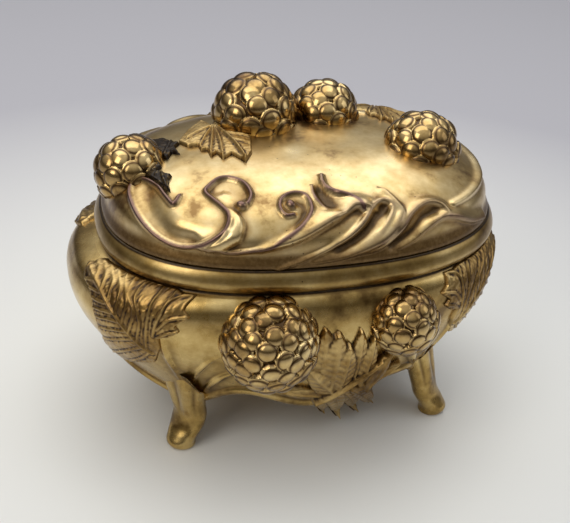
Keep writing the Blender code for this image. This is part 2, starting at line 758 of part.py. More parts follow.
def main():
    """Model every piece in its place."""
    body_trim = body_envelope()
    lid_trim = lid_envelope()
    body_shell()
    soft_lining()
    for end, row in ((-1, "front"), (1, "back")):
        for side, hand in ((-1, "left"), (1, "right")):
            leg("leg_" + row + "_" + hand, side, end, body_trim)
            corner_leaf("corner_leaf_" + row + "_" + hand, side, end)
    spray_lobes = ((95, 0.85), (40, 0.55), (160, 0.45), (225, 0.5), (272, 1.0), (318, 0.85), (0, 0.45))
    for row, flip in (("front", 1.0), ("back", -1.0)):
        large, _ = body_front(flip * LARGE_BERRY_ACROSS, SEAM_HEIGHT - LARGE_BERRY_DROP)
        small, _ = body_front(flip * SMALL_BERRY_ACROSS, SEAM_HEIGHT - SMALL_BERRY_DROP)
        berry(row + "_berry_large", large, LARGE_BERRY, body_trim, flip)
        berry(row + "_berry_small", small, SMALL_BERRY, body_trim, flip)
        spray(row + "_leaf_spray", SPRAY_ACROSS, SEAM_HEIGHT - SPRAY_DROP, spray_lobes, flip)
    lid_shell(lid_trim)
    lid_pad()
    lid_berries = (
        ("lid_berry_top_left", TOP_LEFT_BERRY, TOP_LEFT_ACROSS, TOP_LEFT_DEEP, TOP_LEFT_LIFT),
        ("lid_berry_top_right", TOP_RIGHT_BERRY, TOP_RIGHT_ACROSS, TOP_RIGHT_DEEP, TOP_RIGHT_LIFT),
        ("lid_berry_right", RIGHT_BERRY, RIGHT_ACROSS, RIGHT_DEEP, RIGHT_BERRY_LIFT),
        ("lid_berry_left", LEFT_BERRY, LEFT_ACROSS, LEFT_DEEP, LEFT_BERRY_LIFT),
    )
    for name, radius, across, deep, lift in lid_berries:
        point, _ = dome_over(across * LID_LENGTH / 2, deep * LID_DEPTH / 2)
        berry(name, point + Vector((0, 0, lift)), radius, lid_trim)
    lid_leaves = (
        ("lid_leaf_top", TOP_LEAF_ACROSS, TOP_LEAF_DEEP, ((75, 0.7), (140, 1.0), (200, 0.9), (265, 0.9), (320, 0.8))),
        ("lid_leaf_left", LEFT_LEAF_ACROSS, LEFT_LEAF_DEEP, ((60, 0.85), (120, 0.7), (270, 1.0), (340, 0.7))),
        ("lid_leaf_right", RIGHT_LEAF_ACROSS, RIGHT_LEAF_DEEP, ((85, 0.75), (150, 0.55), (20, 0.85), (300, 0.5))),
    )
    for name, across, deep, lobes in lid_leaves:
        lid_leaf(name, across * LID_LENGTH / 2, deep * LID_DEPTH / 2, lobes)
    hinge(body_trim, lid_trim)
    hang_lid()
    stand_on_middle()


main()
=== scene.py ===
"""Looks of the vanity trinket box: a gilded casket with scrolls, berries and leaves, on a pale studio floor.

Sizes are in millimetres until a mesh is made, and places are measured from the lid's middle, which lies
to the right of the frame's origin because the body leans to the left. The box's forms repeat the values of
the CAD model, and the ornament is drawn from points read in the photograph, cast on to those forms.
"""

from __future__ import annotations

import json
import logging
import math
from dataclasses import dataclass, field
from enum import Enum
from typing import Callable

import bmesh
import bpy
import numpy as np
from mathutils import Matrix, Vector

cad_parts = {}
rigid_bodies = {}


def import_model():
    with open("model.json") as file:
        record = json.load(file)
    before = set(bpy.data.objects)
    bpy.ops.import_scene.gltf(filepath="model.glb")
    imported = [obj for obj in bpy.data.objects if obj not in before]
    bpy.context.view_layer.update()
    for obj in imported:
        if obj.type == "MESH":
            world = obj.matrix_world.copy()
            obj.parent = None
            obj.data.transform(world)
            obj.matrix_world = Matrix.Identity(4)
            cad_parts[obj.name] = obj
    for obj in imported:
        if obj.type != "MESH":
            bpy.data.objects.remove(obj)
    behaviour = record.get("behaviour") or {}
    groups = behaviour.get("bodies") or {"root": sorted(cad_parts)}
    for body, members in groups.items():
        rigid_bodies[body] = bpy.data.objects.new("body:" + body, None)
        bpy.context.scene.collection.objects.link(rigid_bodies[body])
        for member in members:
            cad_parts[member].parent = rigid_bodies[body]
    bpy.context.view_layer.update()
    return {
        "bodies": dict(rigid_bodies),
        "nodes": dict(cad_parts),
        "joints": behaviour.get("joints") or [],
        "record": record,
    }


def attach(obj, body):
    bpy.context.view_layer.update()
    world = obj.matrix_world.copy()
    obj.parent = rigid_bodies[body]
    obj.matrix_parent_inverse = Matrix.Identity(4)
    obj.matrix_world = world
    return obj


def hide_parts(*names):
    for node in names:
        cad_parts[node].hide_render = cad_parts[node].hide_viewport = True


LOG = logging.getLogger("trinket_box")
MM = 0.001
PHOTO_WIDTH = 570
PHOTO_HEIGHT = 523
SENSOR_MM = 36.0
LID_MIDDLE = np.array([5.2, 0.0, 0.0])
Pixels = tuple[tuple[float, float], ...]


class Body(Enum):
    """The rigid bodies that pieces ride on."""

    BOX = "body"
    LID = "lid"


class Slot(Enum):
    """The record's material slots."""

    CASTING = "gilt_casting"
    ORNAMENT = "gilt_ornament"
    HARDWARE = "gilt_hardware"
    SILK = "silk_lining"


class Profile(Enum):
    """Cross-sections of a line of relief."""

    BEAD = "bead"
    FOLD = "fold"
    HOLLOW = "hollow"


def linear(hex_colour: str) -> tuple[float, float, float, float]:
    """Turn an sRGB hex colour into linear RGBA.

    Args:
        hex_colour: Six hex digits, with or without a leading hash.

    Returns:
        Linear red, green, blue and an alpha of one.
    """
    digits = hex_colour.lstrip("#")
    channels = []
    for start in (0, 2, 4):
        value = int(digits[start : start + 2], 16) / 255
        channels.append(value / 12.92 if value <= 0.04045 else ((value + 0.055) / 1.055) ** 2.4)
    return channels[0], channels[1], channels[2], 1.0


def smooth_path(points: np.ndarray, spacing: float) -> np.ndarray:
    """Run a smooth curve through points and sample it evenly.

    Args:
        points: Knots, one per row.
        spacing: Distance between samples, in the points' unit.

    Returns:
        Samples along the curve.
    """
    knots = np.asarray(points, float)
    padded = np.vstack([2 * knots[0] - knots[1], knots, 2 * knots[-1] - knots[-2]])
    share = np.linspace(0, 1, 12, endpoint=False)[:, None]
    dense = []
    for k in range(len(knots) - 1):
        a, b, c, d = padded[k : k + 4]
        square = (2 * a - 5 * b + 4 * c - d) * share**2
        cube = (3 * b - a - 3 * c + d) * share**3
        dense.append(0.5 * (2 * b + (c - a) * share + square + cube))
    dense.append(knots[-1:])
    curve = np.vstack(dense)
    travelled = np.concatenate([[0], np.cumsum(np.linalg.norm(np.diff(curve, axis=0), axis=1))])
    count = max(2, int(travelled[-1] / spacing) + 1)
    even = np.linspace(0, travelled[-1], count)
    return np.stack([np.interp(even, travelled, curve[:, axis]) for axis in range(curve.shape[1])], axis=1)


def ease(values: np.ndarray, low: float, high: float) -> np.ndarray:
    """Step smoothly from 0 at low to 1 at high."""
    share = np.clip((values - low) / (high - low), 0, 1)
    return share * share * (3 - 2 * share)


def value_noise(points: np.ndarray, cell: float, seed: int) -> np.ndarray:
    """Smooth seeded noise in space.

    Args:
        points: Places, in millimetres.
        cell: Size of one lump, in millimetres.
        seed: Picks the pattern.

    Returns:
        Values from -1 to 1, one per place.
    """
    table = np.random.default_rng(seed).uniform(-1, 1, 4096)
    scaled = points / cell
    base = np.floor(scaled).astype(np.int64)
    part = scaled - base
    part = part * part * (3 - 2 * part)
    total = np.zeros(len(points))
    for corner in range(8):
        step = np.array([(corner >> axis) & 1 for axis in range(3)])
        cellid = base + step
        hashed = (cellid[:, 0] * 73856093) ^ (cellid[:, 1] * 19349663) ^ (cellid[:, 2] * 83492791)
        weight = np.prod(np.where(step, part, 1 - part), axis=1)
        total += table[hashed % 4096] * weight
    return total


@dataclass(frozen=True)
class PhotoCamera:
    """The camera that took the photograph, and the rays through its pixels."""

    azimuth: float = math.radians(-16.0)
    elevation: float = math.radians(30.0)
    roll: float = math.radians(2.68)
    focal_px: float = 1000.0
    distance: float = 382.0
    target: tuple[float, float, float] = (-2.1, 2.8, 50.0)

    def axes(self) -> np.ndarray:
        """Return the camera's right, up and back directions, one per row.

        Returns:
            Three unit rows.
        """
        a, e = self.azimuth, self.elevation
        back = np.array([math.sin(a) * math.cos(e), -math.cos(a) * math.cos(e), math.sin(e)])
        level = np.array([math.cos(a), math.sin(a), 0.0])
        rise = np.cross(back, level)
        c, s = math.cos(self.roll), math.sin(self.roll)
        return np.array([c * level + s * rise, c * rise - s * level, back])

    def eye(self) -> np.ndarray:
        """Return the camera's place."""
        return np.array(self.target) + self.axes()[2] * self.distance

    def rays(self, pixels: Pixels) -> np.ndarray:
        """Return one direction per pixel, each a millimetre deep.

        Args:
            pixels: Places in the photograph.

        Returns:
            Directions, one per pixel.
        """
        right, rise, back = self.axes()
        spots = np.asarray(pixels, float)
        across = (spots[:, :1] - PHOTO_WIDTH / 2) / self.focal_px
        down = (spots[:, 1:] - PHOTO_HEIGHT / 2) / self.focal_px
        return across * right - down * rise - back

    def build(self) -> bpy.types.Object:
        """Make Blender's camera at the same place.

        Returns:
            The camera.
        """
        lens = bpy.data.cameras.new("photo_camera")
        lens.sensor_width = SENSOR_MM
        lens.sensor_fit = "HORIZONTAL"
        lens.lens = self.focal_px / PHOTO_WIDTH * SENSOR_MM
        lens.clip_start = 0.01
        camera = bpy.data.objects.new("photo_camera", lens)
        bpy.context.scene.collection.objects.link(camera)
        pose = Matrix(self.axes().T.tolist()).to_4x4()
        pose.translation = (self.eye() + LID_MIDDLE) * MM
        camera.matrix_world = pose
        bpy.context.scene.camera = camera
        return camera


@dataclass(frozen=True)
class Plan:
    """The oval that the lid and the body share."""

    power: float = 2.4

    def points(self, turn: np.ndarray, half_length: np.ndarray, half_depth: np.ndarray) -> np.ndarray:
        """Find places round the oval.

        Args:
            turn: Turns from +X.
            half_length: Half the oval's length.
            half_depth: Half the oval's depth.

        Returns:
            The places as x and y columns.
        """
        c, s = np.cos(turn), np.sin(turn)
        x = np.sign(c) * np.abs(c) ** (2 / self.power) * half_length
        y = np.sign(s) * np.abs(s) ** (2 / self.power) * half_depth
        return np.stack([x, y], axis=-1)

    def spread(
        self, x: np.ndarray, y: np.ndarray, half_length: np.ndarray, half_depth: np.ndarray,
    ) -> np.ndarray:
        """Return how far out places lie, as a share of the oval."""
        total = np.abs(x / half_length) ** self.power + np.abs(y / half_depth) ** self.power
        return total ** (1 / self.power)

    def turn(
        self, x: np.ndarray, y: np.ndarray, half_length: np.ndarray, half_depth: np.ndarray,
    ) -> np.ndarray:
        """Find the turn of places on the oval.

        Args:
            x: The places' x.
            y: The places' y.
            half_length: Half the oval's length.
            half_depth: Half the oval's depth.

        Returns:
            Turns from +X.
        """
        across = np.sign(x) * np.abs(x / half_length) ** (self.power / 2)
        deep = np.sign(y) * np.abs(y / half_depth) ** (self.power / 2)
        return np.arctan2(deep, across)


@dataclass(frozen=True)
class DomeForm:
    """The lid's plain dome."""

    half_length: float = 70.0
    half_depth: float = 52.0
    height: float = 23.0
    power: float = 2.7
    foot: float = 79.5
    plan: Plan = Plan()

    def skin(self, turn: np.ndarray, rise: np.ndarray) -> np.ndarray:
        """Find points of the dome.

        Args:
            turn: Turns round the dome.
            rise: Rises from the seam, at 0, to the crown, at a quarter turn.

        Returns:
            The points.
        """
        spread = np.cos(rise) ** (2 / self.power)
        lift = np.sin(rise) ** (2 / self.power)
        level = self.plan.points(turn, self.half_length * spread, self.half_depth * spread)
        return np.concatenate([level, (self.foot + self.height * lift)[..., None]], axis=-1)

    def inside(self, gap: float) -> DomeForm:
        """Return the dome that lies inside this one by a gap."""
        return DomeForm(self.half_length - gap, self.half_depth - gap, self.height - gap)

    def over(self, x: np.ndarray, y: np.ndarray) -> np.ndarray:
        """Find the dome's height, which falls away steeply outside the oval.

        Args:
            x: Places in plan.
            y: Places in plan.

        Returns:
            Heights over the floor.
        """
        spread = self.plan.spread(x, y, self.half_length, self.half_depth)
        inside = np.clip(spread, 0, 1)
        dome = self.height * (1 - inside**self.power) ** (1 / self.power)
        return self.foot + dome - 40 * np.maximum(0, spread - 1)

    def point_and_normal(self, x: np.ndarray, y: np.ndarray) -> tuple[np.ndarray, np.ndarray]:
        """Return the dome's points over places in plan, with their normals.

        Args:
            x: Places along the length.
            y: Places across the depth.

        Returns:
            Points and unit normals.
        """
        step = 0.4
        along = (self.over(x + step, y) - self.over(x - step, y)) / (2 * step)
        deep = (self.over(x, y + step) - self.over(x, y - step)) / (2 * step)
        normal = np.stack([-along, -deep, np.ones_like(along)], axis=-1)
        normal /= np.linalg.norm(normal, axis=-1, keepdims=True)
        return np.stack([x, y, self.over(x, y)], axis=-1), normal

    def hit(self, camera: PhotoCamera, pixels: Pixels) -> np.ndarray:
        """Cast pixels on to the dome; a pixel beside it lands on the nearest point of its edge.

        Args:
            camera: The photograph's camera.
            pixels: Places in the photograph.

        Returns:
            Where each ray lands.
        """
        eye = camera.eye()
        landed = []
        for ray in camera.rays(pixels):
            depth = np.linspace(camera.distance * 0.7, camera.distance * 1.25, 4000)
            places = eye + depth[:, None] * ray
            above = places[:, 2] - self.over(places[:, 0], places[:, 1])
            below = np.nonzero(above <= 0)[0]
            at = below[0] if len(below) else int(np.argmin(above))
            place = places[at]
            landed.append([place[0], place[1], self.over(place[:1], place[1:2])[0]])
        return np.array(landed)


@dataclass(frozen=True)
class BodyForm:
    """The bombe body: half sizes that change with height, swollen at the corners."""

    seam: float = 79.0
    arch: float = 27.5
    apron_drop: float = 13.0
    apron_span: float = math.radians(21)
    bracket_drop: float = 10.0
    bracket_span: float = math.radians(24)
    leg_turns: tuple[float, float] = (math.radians(44.6), math.radians(39))
    stations: tuple[tuple[float, float, float, float], ...] = (
        (10.0, 53.0, 43.5, 36.5),
        (16.0, 58.0, 49.0, 41.0),
        (21.0, 62.0, 52.5, 44.2),
        (27.0, 67.0, 56.5, 47.4),
        (33.0, 71.5, 60.5, 50.0),
        (40.0, 76.5, 65.0, 52.6),
        (47.0, 80.6, 68.8, 54.6),
        (53.0, 82.8, 71.5, 55.8),
        (58.5, 83.3, 73.0, 56.0),
        (63.0, 81.8, 73.3, 55.4),
        (66.5, 78.6, 72.8, 54.2),
        (68.6, 73.6, 71.6, 52.9),
        (69.6, 70.9, 70.3, 51.9),
        (70.2, 70.6, 70.2, 51.8),
        (71.2, 71.6, 71.3, 52.8),
        (72.6, 72.4, 72.2, 53.7),
        (74.2, 72.7, 72.6, 54.1),
        (75.8, 72.4, 72.3, 53.8),
        (77.4, 71.6, 71.6, 53.2),
        (79.0, 70.4, 70.4, 52.3),
    )
    plan: Plan = Plan()

    def half_sizes(self, height: np.ndarray) -> tuple[np.ndarray, np.ndarray, np.ndarray]:
        """Run a smooth curve through the stations.

        Args:
            height: Heights over the floor.

        Returns:
            Half length to the left, half length to the right, and half depth.
        """
        table = np.array(self.stations)
        z = np.clip(height, table[0, 0], table[-1, 0])
        at = np.clip(np.searchsorted(table[:, 0], z, side="right") - 1, 0, len(table) - 2)
        run = table[at + 1, 0] - table[at, 0]
        share = (z - table[at, 0]) / run
        slopes = np.gradient(table[:, 1:], table[:, 0], axis=0)
        sizes = []
        for column in range(3):
            low, high = table[at, column + 1], table[at + 1, column + 1]
            start, stop = slopes[at, column] * run, slopes[at + 1, column] * run
            s2, s3 = share**2, share**3
            value = (2 * s3 - 3 * s2 + 1) * low + (s3 - 2 * s2 + share) * start
            sizes.append(value + (3 * s2 - 2 * s3) * high + (s3 - s2) * stop)
        return sizes[0], sizes[1], sizes[2]

    def reach(self, side: np.ndarray, height: np.ndarray) -> tuple[np.ndarray, np.ndarray]:
        """Return half length on the side that a sign names, and half depth."""
        left, right, deep = self.half_sizes(height)
        return np.where(side < 0, left, right), deep

    def skin(self, turn: np.ndarray, height: np.ndarray) -> np.ndarray:
        """Return points on the body's outside.

        Args:
            turn: Turns round the oval, in radians.
            height: Heights over the floor.

        Returns:
            Points, in millimetres.
        """
        half_length, half_depth = self.reach(np.cos(turn), height)
        level = self.plan.points(turn, half_length, half_depth)
        return np.concatenate([level, np.asarray(height, float)[..., None]], axis=-1)

    def point_and_normal(self, turn: np.ndarray, height: np.ndarray) -> tuple[np.ndarray, np.ndarray]:
        """Return points on the body's outside, with their normals.

        Args:
            turn: Turns round the oval, in radians.
            height: Heights over the floor.

        Returns:
            Points and unit normals.
        """
        step, rise = 0.012, 0.25
        across = self.skin(turn + step, height) - self.skin(turn - step, height)
        up = self.skin(turn, height + rise) - self.skin(turn, height - rise)
        normal = np.cross(across, up)
        normal /= np.linalg.norm(normal, axis=-1, keepdims=True)
        return self.skin(turn, height), normal

    def edge(self, turn: np.ndarray) -> np.ndarray:
        """Find the lower edge, which hangs in a lobe at the front and back and runs down the legs.

        Args:
            turn: Turns round the body.

        Returns:
            The edge's heights.
        """
        away = np.abs(turn % math.pi - math.pi / 2)
        lobe = self.apron_drop * (1 - ease(away, 0.0, self.apron_span))
        bracket = self.bracket_drop * (1 - ease(self.from_leg(turn), math.radians(2), self.bracket_span))
        return self.arch - lobe - bracket

    def from_leg(self, turn: np.ndarray) -> np.ndarray:
        """Return how far turns lie from the nearest leg."""
        folded = np.arctan2(np.abs(np.sin(turn)), np.abs(np.cos(turn)))
        return np.abs(folded - np.where(np.cos(turn) < 0, *self.leg_turns))

    def carry(self, turn: np.ndarray, across: int, deep: int) -> np.ndarray:
        """Carry turns from the front left to another corner, by a sign across and a sign deep."""
        turn = turn if across > 0 else math.pi - turn
        return turn if deep > 0 else -turn

    def hit(self, camera: PhotoCamera, pixels: Pixels) -> np.ndarray:
        """Cast pixels on to the body.

        Args:
            camera: The photograph's camera.
            pixels: Places in the photograph.

        Returns:
            The turn and height where each ray lands.
        """
        eye = camera.eye()
        landed = []
        for ray in camera.rays(pixels):
            depth = np.linspace(camera.distance * 0.6, camera.distance * 1.2, 4000)
            places = eye + depth[:, None] * ray
            half_length, half_depth = self.reach(places[:, 0], places[:, 2])
            spread = self.plan.spread(places[:, 0], places[:, 1], half_length, half_depth)
            inside = np.nonzero((spread <= 1) & (places[:, 2] < self.seam))[0]
            at = inside[0] if len(inside) else int(np.argmin(spread))
            place = places[at : at + 1]
            turn = self.plan.turn(place[:, 0], place[:, 1], half_length[at], half_depth[at])
            landed.append([turn[0], place[0, 2]])
        return np.array(landed)


@dataclass(frozen=True)
class Stroke:
    """One line of relief drawn over the lid's scrollwork.

    Attributes:
        pixels: Knots read in the photograph.
        profile: The line's cross-section.
        height: How far it stands out, or goes in, in millimetres.
        width: Its half width, in millimetres.
        taper: Shares of height and width at the start, the middle and the end.
        gentle: Half width of the long side of a fold; its sign says which side that is.
        tarnish: How much purple-brown tarnish the line's crest holds.
    """

    pixels: Pixels
    profile: Profile
    height: float
    width: float
    taper: tuple[float, float, float] = (1.0, 1.0, 1.0)
    gentle: float = 6.0
    tarnish: float = 1.0

    def relief(
        self, path: np.ndarray, places: np.ndarray, normals: np.ndarray,
    ) -> tuple[np.ndarray, np.ndarray]:
        """Work out the relief that this line gives.

        Args:
            path: The line's knots where they land on the form.
            places: Points of the form's plain skin.
            normals: The skin's normals there.

        Returns:
            The relief at each place, and how close each lies to the crest.
        """
        path = smooth_path(path, 0.35)
        reach = max(self.width, abs(self.gentle) if self.profile is Profile.FOLD else 0) * 2.2
        near = np.all((places > path.min(axis=0) - reach) & (places < path.max(axis=0) + reach), axis=1)
        relief = np.zeros(len(places))
        crest = np.zeros(len(places))
        chosen = np.nonzero(near)[0]
        tangent = np.gradient(path, axis=0)
        for chunk in np.array_split(chosen, len(chosen) // 20000 + 1):
            gap = places[chunk][:, None, :] - path[None, :, :]
            squared = np.einsum("ijk,ijk->ij", gap, gap)
            nearest = squared.argmin(axis=1)
            each = np.arange(len(chunk))
            apart = np.sqrt(squared[each, nearest])
            share = np.interp(nearest / (len(path) - 1), [0, 0.5, 1], self.taper)
            left = np.cross(normals[chunk], tangent[nearest])
            side = np.sign(np.einsum("ij,ij->i", left, gap[each, nearest]))
            relief[chunk] = self.section(apart, side, share)
            crest[chunk] = share * np.exp(-((apart / (self.width * 1.1)) ** 2)) * self.tarnish
        return relief, crest

    def section(self, apart: np.ndarray, side: np.ndarray, share: np.ndarray) -> np.ndarray:
        """Return the cross-section's height at distances from the line.

        Args:
            apart: Distances from the line.
            side: Which side of the line each place lies on.
            share: Share of the full height and width there.

        Returns:
            Heights of relief, in millimetres.
        """
        width = self.width * np.maximum(share, 0.15)
        if self.profile is Profile.BEAD:
            return self.height * share * np.sqrt(np.clip(1 - (apart / width) ** 2, 0, 1))
        if self.profile is Profile.HOLLOW:
            return -self.height * share * np.exp(-((apart / width) ** 2))
        long_side = side * np.sign(self.gentle) > 0
        reach = np.where(long_side, abs(self.gentle) * np.maximum(share, 0.3), width)
        return self.height * share * (0.5 + 0.5 * np.cos(np.pi * np.clip(apart / reach, 0, 1)))


def add_node(
    tree: bpy.types.NodeTree, kind: str, links: dict | None = None, **settings: object,
) -> bpy.types.Node:
    """Add a shader node with its settings and links.

    Args:
        tree: The material's or world's node tree.
        kind: Blender's name for the node.
        links: Input name or index to the output socket, or the plain value, that feeds it.
        settings: Attributes of the node itself.

    Returns:
        The new node.
    """
    node = tree.nodes.new(kind)
    for key, value in settings.items():
        setattr(node, key, value)
    for key, value in (links or {}).items():
        if isinstance(value, bpy.types.NodeSocket):
            tree.links.new(value, node.inputs[key])
        else:
            node.inputs[key].default_value = value
    return node


def ramp(tree: bpy.types.NodeTree, source: bpy.types.NodeSocket, stops: tuple) -> bpy.types.NodeSocket:
    """Send a value through colour stops.

    Args:
        tree: The node tree.
        source: The value.
        stops: Position and linear colour pairs.

    Returns:
        The colour output.
    """
    node = add_node(tree, "ShaderNodeValToRGB", {"Fac": source})
    band = node.color_ramp
    while len(band.elements) < len(stops):
        band.elements.new(0.5)
    for element, (position, colour) in zip(band.elements, stops):
        element.position = position
        element.color = colour
    return node.outputs["Color"]


@dataclass(frozen=True)
class Gilding:
    """Gilded spelter: a zinc casting plated with gold, lacquered, then worn and tarnished by handling.

    The gold is bright where hands have rubbed it, brown where the lacquer has aged, nearly black where the
    plate is gone, and purple-brown along the crests where it tarnished; the hollows carry painted shade,
    brown to nearly black.
    """

    name: str
    bright: str = "#E7CB95"
    gold: str = "#BC9960"
    brown: str = "#816338"
    dark: str = "#231B14"
    tarnish: str = "#6E5449"
    roughness: float = 0.27
    lacquer: float = 0.25
    cloud_mm: float = 16.0
    stipple_mm: float = 0.6
    stipple: float = 0.0
    brown_share: float = 0.45

    def build(self) -> bpy.types.Material:
        """Make the material; the mesh carries the painted shade of its hollows, its crests and its worn
        places as point values.

        Returns:
            The material.
        """
        material = bpy.data.materials.new(self.name)
        material.use_nodes = True
        tree = material.node_tree
        shader = tree.nodes["Principled BSDF"]
        place = add_node(tree, "ShaderNodeTexCoord").outputs["Object"]
        cloud = add_node(
            tree, "ShaderNodeTexNoise",
            {"Vector": place, "Scale": 1 / (self.cloud_mm * MM), "Detail": 6.0, "Roughness": 0.62},
        ).outputs["Fac"]
        colour = ramp(tree, cloud, (
            (0.34, linear(self.brown)),
            (0.34 + 0.3 * self.brown_share, linear(self.gold)),
            (0.66, linear(self.bright)),
        ))
        hollow = add_node(tree, "ShaderNodeAttribute", attribute_name="hollow").outputs["Fac"]
        crest = add_node(tree, "ShaderNodeAttribute", attribute_name="crest").outputs["Fac"]
        bare = add_node(tree, "ShaderNodeAttribute", attribute_name="bare").outputs["Fac"]
        fine = add_node(
            tree, "ShaderNodeTexNoise",
            {"Vector": place, "Scale": 1 / (1.6 * MM), "Detail": 4.0, "Roughness": 0.7},
        ).outputs["Fac"]
        # Painted shade: the hollow value turns the gold brown, then nearly black; the crest tarnish and the
        # bare plate are the casting's own colour.
        for value, hue, start, stop in ((crest, self.tarnish, 0.45, 1.05), (hollow, self.brown, 0.25, 0.9),
                                        (hollow, self.dark, 0.75, 1.25), (bare, self.dark, 0.55, 0.8)):
            broken = add_node(
                tree, "ShaderNodeMath", {0: fine, 1: 0.35, 2: value}, operation="MULTIPLY_ADD",
            ).outputs[0]
            mask = add_node(
                tree, "ShaderNodeMapRange", {"Value": broken, "From Min": start, "From Max": stop},
            ).outputs["Result"]
            colour = add_node(
                tree, "ShaderNodeMix", {0: mask, 6: colour, 7: linear(hue)}, data_type="RGBA",
            ).outputs[2]
        specks = add_node(
            tree, "ShaderNodeTexVoronoi", {"Vector": place, "Scale": 1 / (3.2 * MM), "Randomness": 1.0},
        ).outputs["Distance"]
        pits = add_node(
            tree, "ShaderNodeMapRange", {"Value": specks, "From Min": 0.1, "From Max": 0.05},
        ).outputs["Result"]
        patch = add_node(
            tree, "ShaderNodeTexNoise", {"Vector": place, "Scale": 1 / (22 * MM), "Detail": 2.0},
        ).outputs["Fac"]
        patch = add_node(
            tree, "ShaderNodeMapRange", {"Value": patch, "From Min": 0.5, "From Max": 0.62},
        ).outputs["Result"]
        pits = add_node(tree, "ShaderNodeMath", {0: pits, 1: patch}, operation="MULTIPLY").outputs[0]
        colour = add_node(
            tree, "ShaderNodeMix", {0: pits, 6: colour, 7: linear("#3A2C1B")}, data_type="RGBA",
        ).outputs[2]
        tree.links.new(colour, shader.inputs["Base Color"])
        shader.inputs["Metallic"].default_value = 1.0
        shader.inputs["Coat Weight"].default_value = self.lacquer
        shader.inputs["Coat Roughness"].default_value = 0.18
        dull = add_node(
            tree, "ShaderNodeMath", {0: hollow, 1: 0.25, 2: self.roughness}, operation="MULTIPLY_ADD",
        ).outputs[0]
        worn = add_node(
            tree, "ShaderNodeMath", {0: cloud, 1: -0.16, 2: dull}, operation="MULTIPLY_ADD",
        ).outputs[0]
        rough = add_node(
            tree, "ShaderNodeMath", {0: bare, 1: 0.3, 2: worn}, operation="MULTIPLY_ADD", use_clamp=True,
        ).outputs[0]
        rough = add_node(tree, "ShaderNodeMath", {0: rough, 1: 0.08}, operation="ADD").outputs[0]
        tree.links.new(rough, shader.inputs["Roughness"])
        grain = add_node(
            tree, "ShaderNodeTexNoise",
            {"Vector": place, "Scale": 1 / (self.stipple_mm * MM), "Detail": 2.0, "Roughness": 0.6},
        ).outputs["Fac"]
        ripple = add_node(
            tree, "ShaderNodeTexNoise", {"Vector": place, "Scale": 1 / (9 * MM), "Detail": 2.0},
        ).outputs["Fac"]
        bump = add_node(
            tree, "ShaderNodeBump", {"Height": ripple, "Strength": 0.10, "Distance": 0.6 * MM},
        ).outputs["Normal"]
        bump = add_node(
            tree, "ShaderNodeBump",
            {"Height": grain, "Normal": bump, "Strength": 0.06 + self.stipple, "Distance": 0.12 * MM},
        ).outputs["Normal"]
        tree.links.new(bump, shader.inputs["Normal"])
        return material


@dataclass(frozen=True)
class Silk:
    """Faded silk satin over wadding: soft sheen along the folds, with a fine rib of weft threads."""

    name: str = "silk_satin_woven"
    light: str = "#D9B7A6"
    deep: str = "#A97C6C"
    thread_mm: float = 0.5

    def build(self) -> bpy.types.Material:
        """Make the material; the rib is drawn coarser than real thread so that it shows.

        Returns:
            The material.
        """
        material = bpy.data.materials.new(self.name)
        material.use_nodes = True
        tree = material.node_tree
        shader = tree.nodes["Principled BSDF"]
        place = add_node(tree, "ShaderNodeTexCoord").outputs["Object"]
        fade = add_node(
            tree, "ShaderNodeTexNoise", {"Vector": place, "Scale": 1 / (14 * MM), "Detail": 4.0},
        ).outputs["Fac"]
        colour = ramp(tree, fade, ((0.35, linear(self.deep)), (0.62, linear(self.light))))
        tree.links.new(colour, shader.inputs["Base Color"])
        shader.inputs["Roughness"].default_value = 0.48
        shader.inputs["Sheen Weight"].default_value = 0.5
        shader.inputs["Sheen Roughness"].default_value = 0.35
        weft = add_node(
            tree, "ShaderNodeTexWave",
            {"Vector": place, "Scale": 1 / (self.thread_mm * MM * 6.28), "Distortion": 1.2, "Detail": 2.0},
        ).outputs["Fac"]
        bump = add_node(
            tree, "ShaderNodeBump", {"Height": weft, "Strength": 0.12, "Distance": 0.1 * MM},
        ).outputs["Normal"]
        tree.links.new(bump, shader.inputs["Normal"])
        return material


class Finishes(Enum):
    """The finishes that pieces are dressed in."""

    # Cast zinc alloy under gold plate: warm, a little dull, clouded with brown.
    CASTING = Gilding("gilt_spelter_cast", bright="#D6BB7C", gold="#AE9052", brown="#71572B")
    # The same on the lid, painted paler all over than the body: a painted reflection of the bright room
    # above the dome.
    LID = Gilding("gilt_spelter_lid_painted_reflection", bright="#E6CF9B", gold="#C2A56B", roughness=0.30, brown_share=0.32)
    # Polished drupelets: sharp glints on each dome, and painted shade round its foot.
    BERRY = Gilding("gilt_spelter_berry", bright="#E0C58A", gold="#B6955A", brown="#5F4524", roughness=0.16)
    # Chased leaves: a matt stippled ground, with painted shade between the veins that makes them stand out
    # bright.
    LEAF = Gilding("gilt_spelter_leaf_chased", gold="#9C7C44", bright="#CDB074", brown="#614724",
                   roughness=0.32, stipple=0.35)
    # Drawn brass: plainer and more even than the castings.
    HARDWARE = Gilding("brass_drawn", gold="#9C7A3C", bright="#B8954E", roughness=0.36)
    # Faded rose satin with a soft sheen.
    SILK = Silk()


class Wardrobe:
    """Makes each finish once."""

    def __init__(self) -> None:
        """Start with nothing made."""
        self.made: dict[Finishes, bpy.types.Material] = {}

    def get(self, finish: Finishes) -> bpy.types.Material:
        """Return a finish's material.

        Args:
            finish: The finish.

        Returns:
            The material.
        """
        if finish not in self.made:
            self.made[finish] = finish.value.build()
        return self.made[finish]


@dataclass
class Surface:
    """Points and faces of a piece, in millimetres, with the values that its finish reads."""

    points: np.ndarray
    faces: list
    values: dict[str, np.ndarray] = field(default_factory=dict)


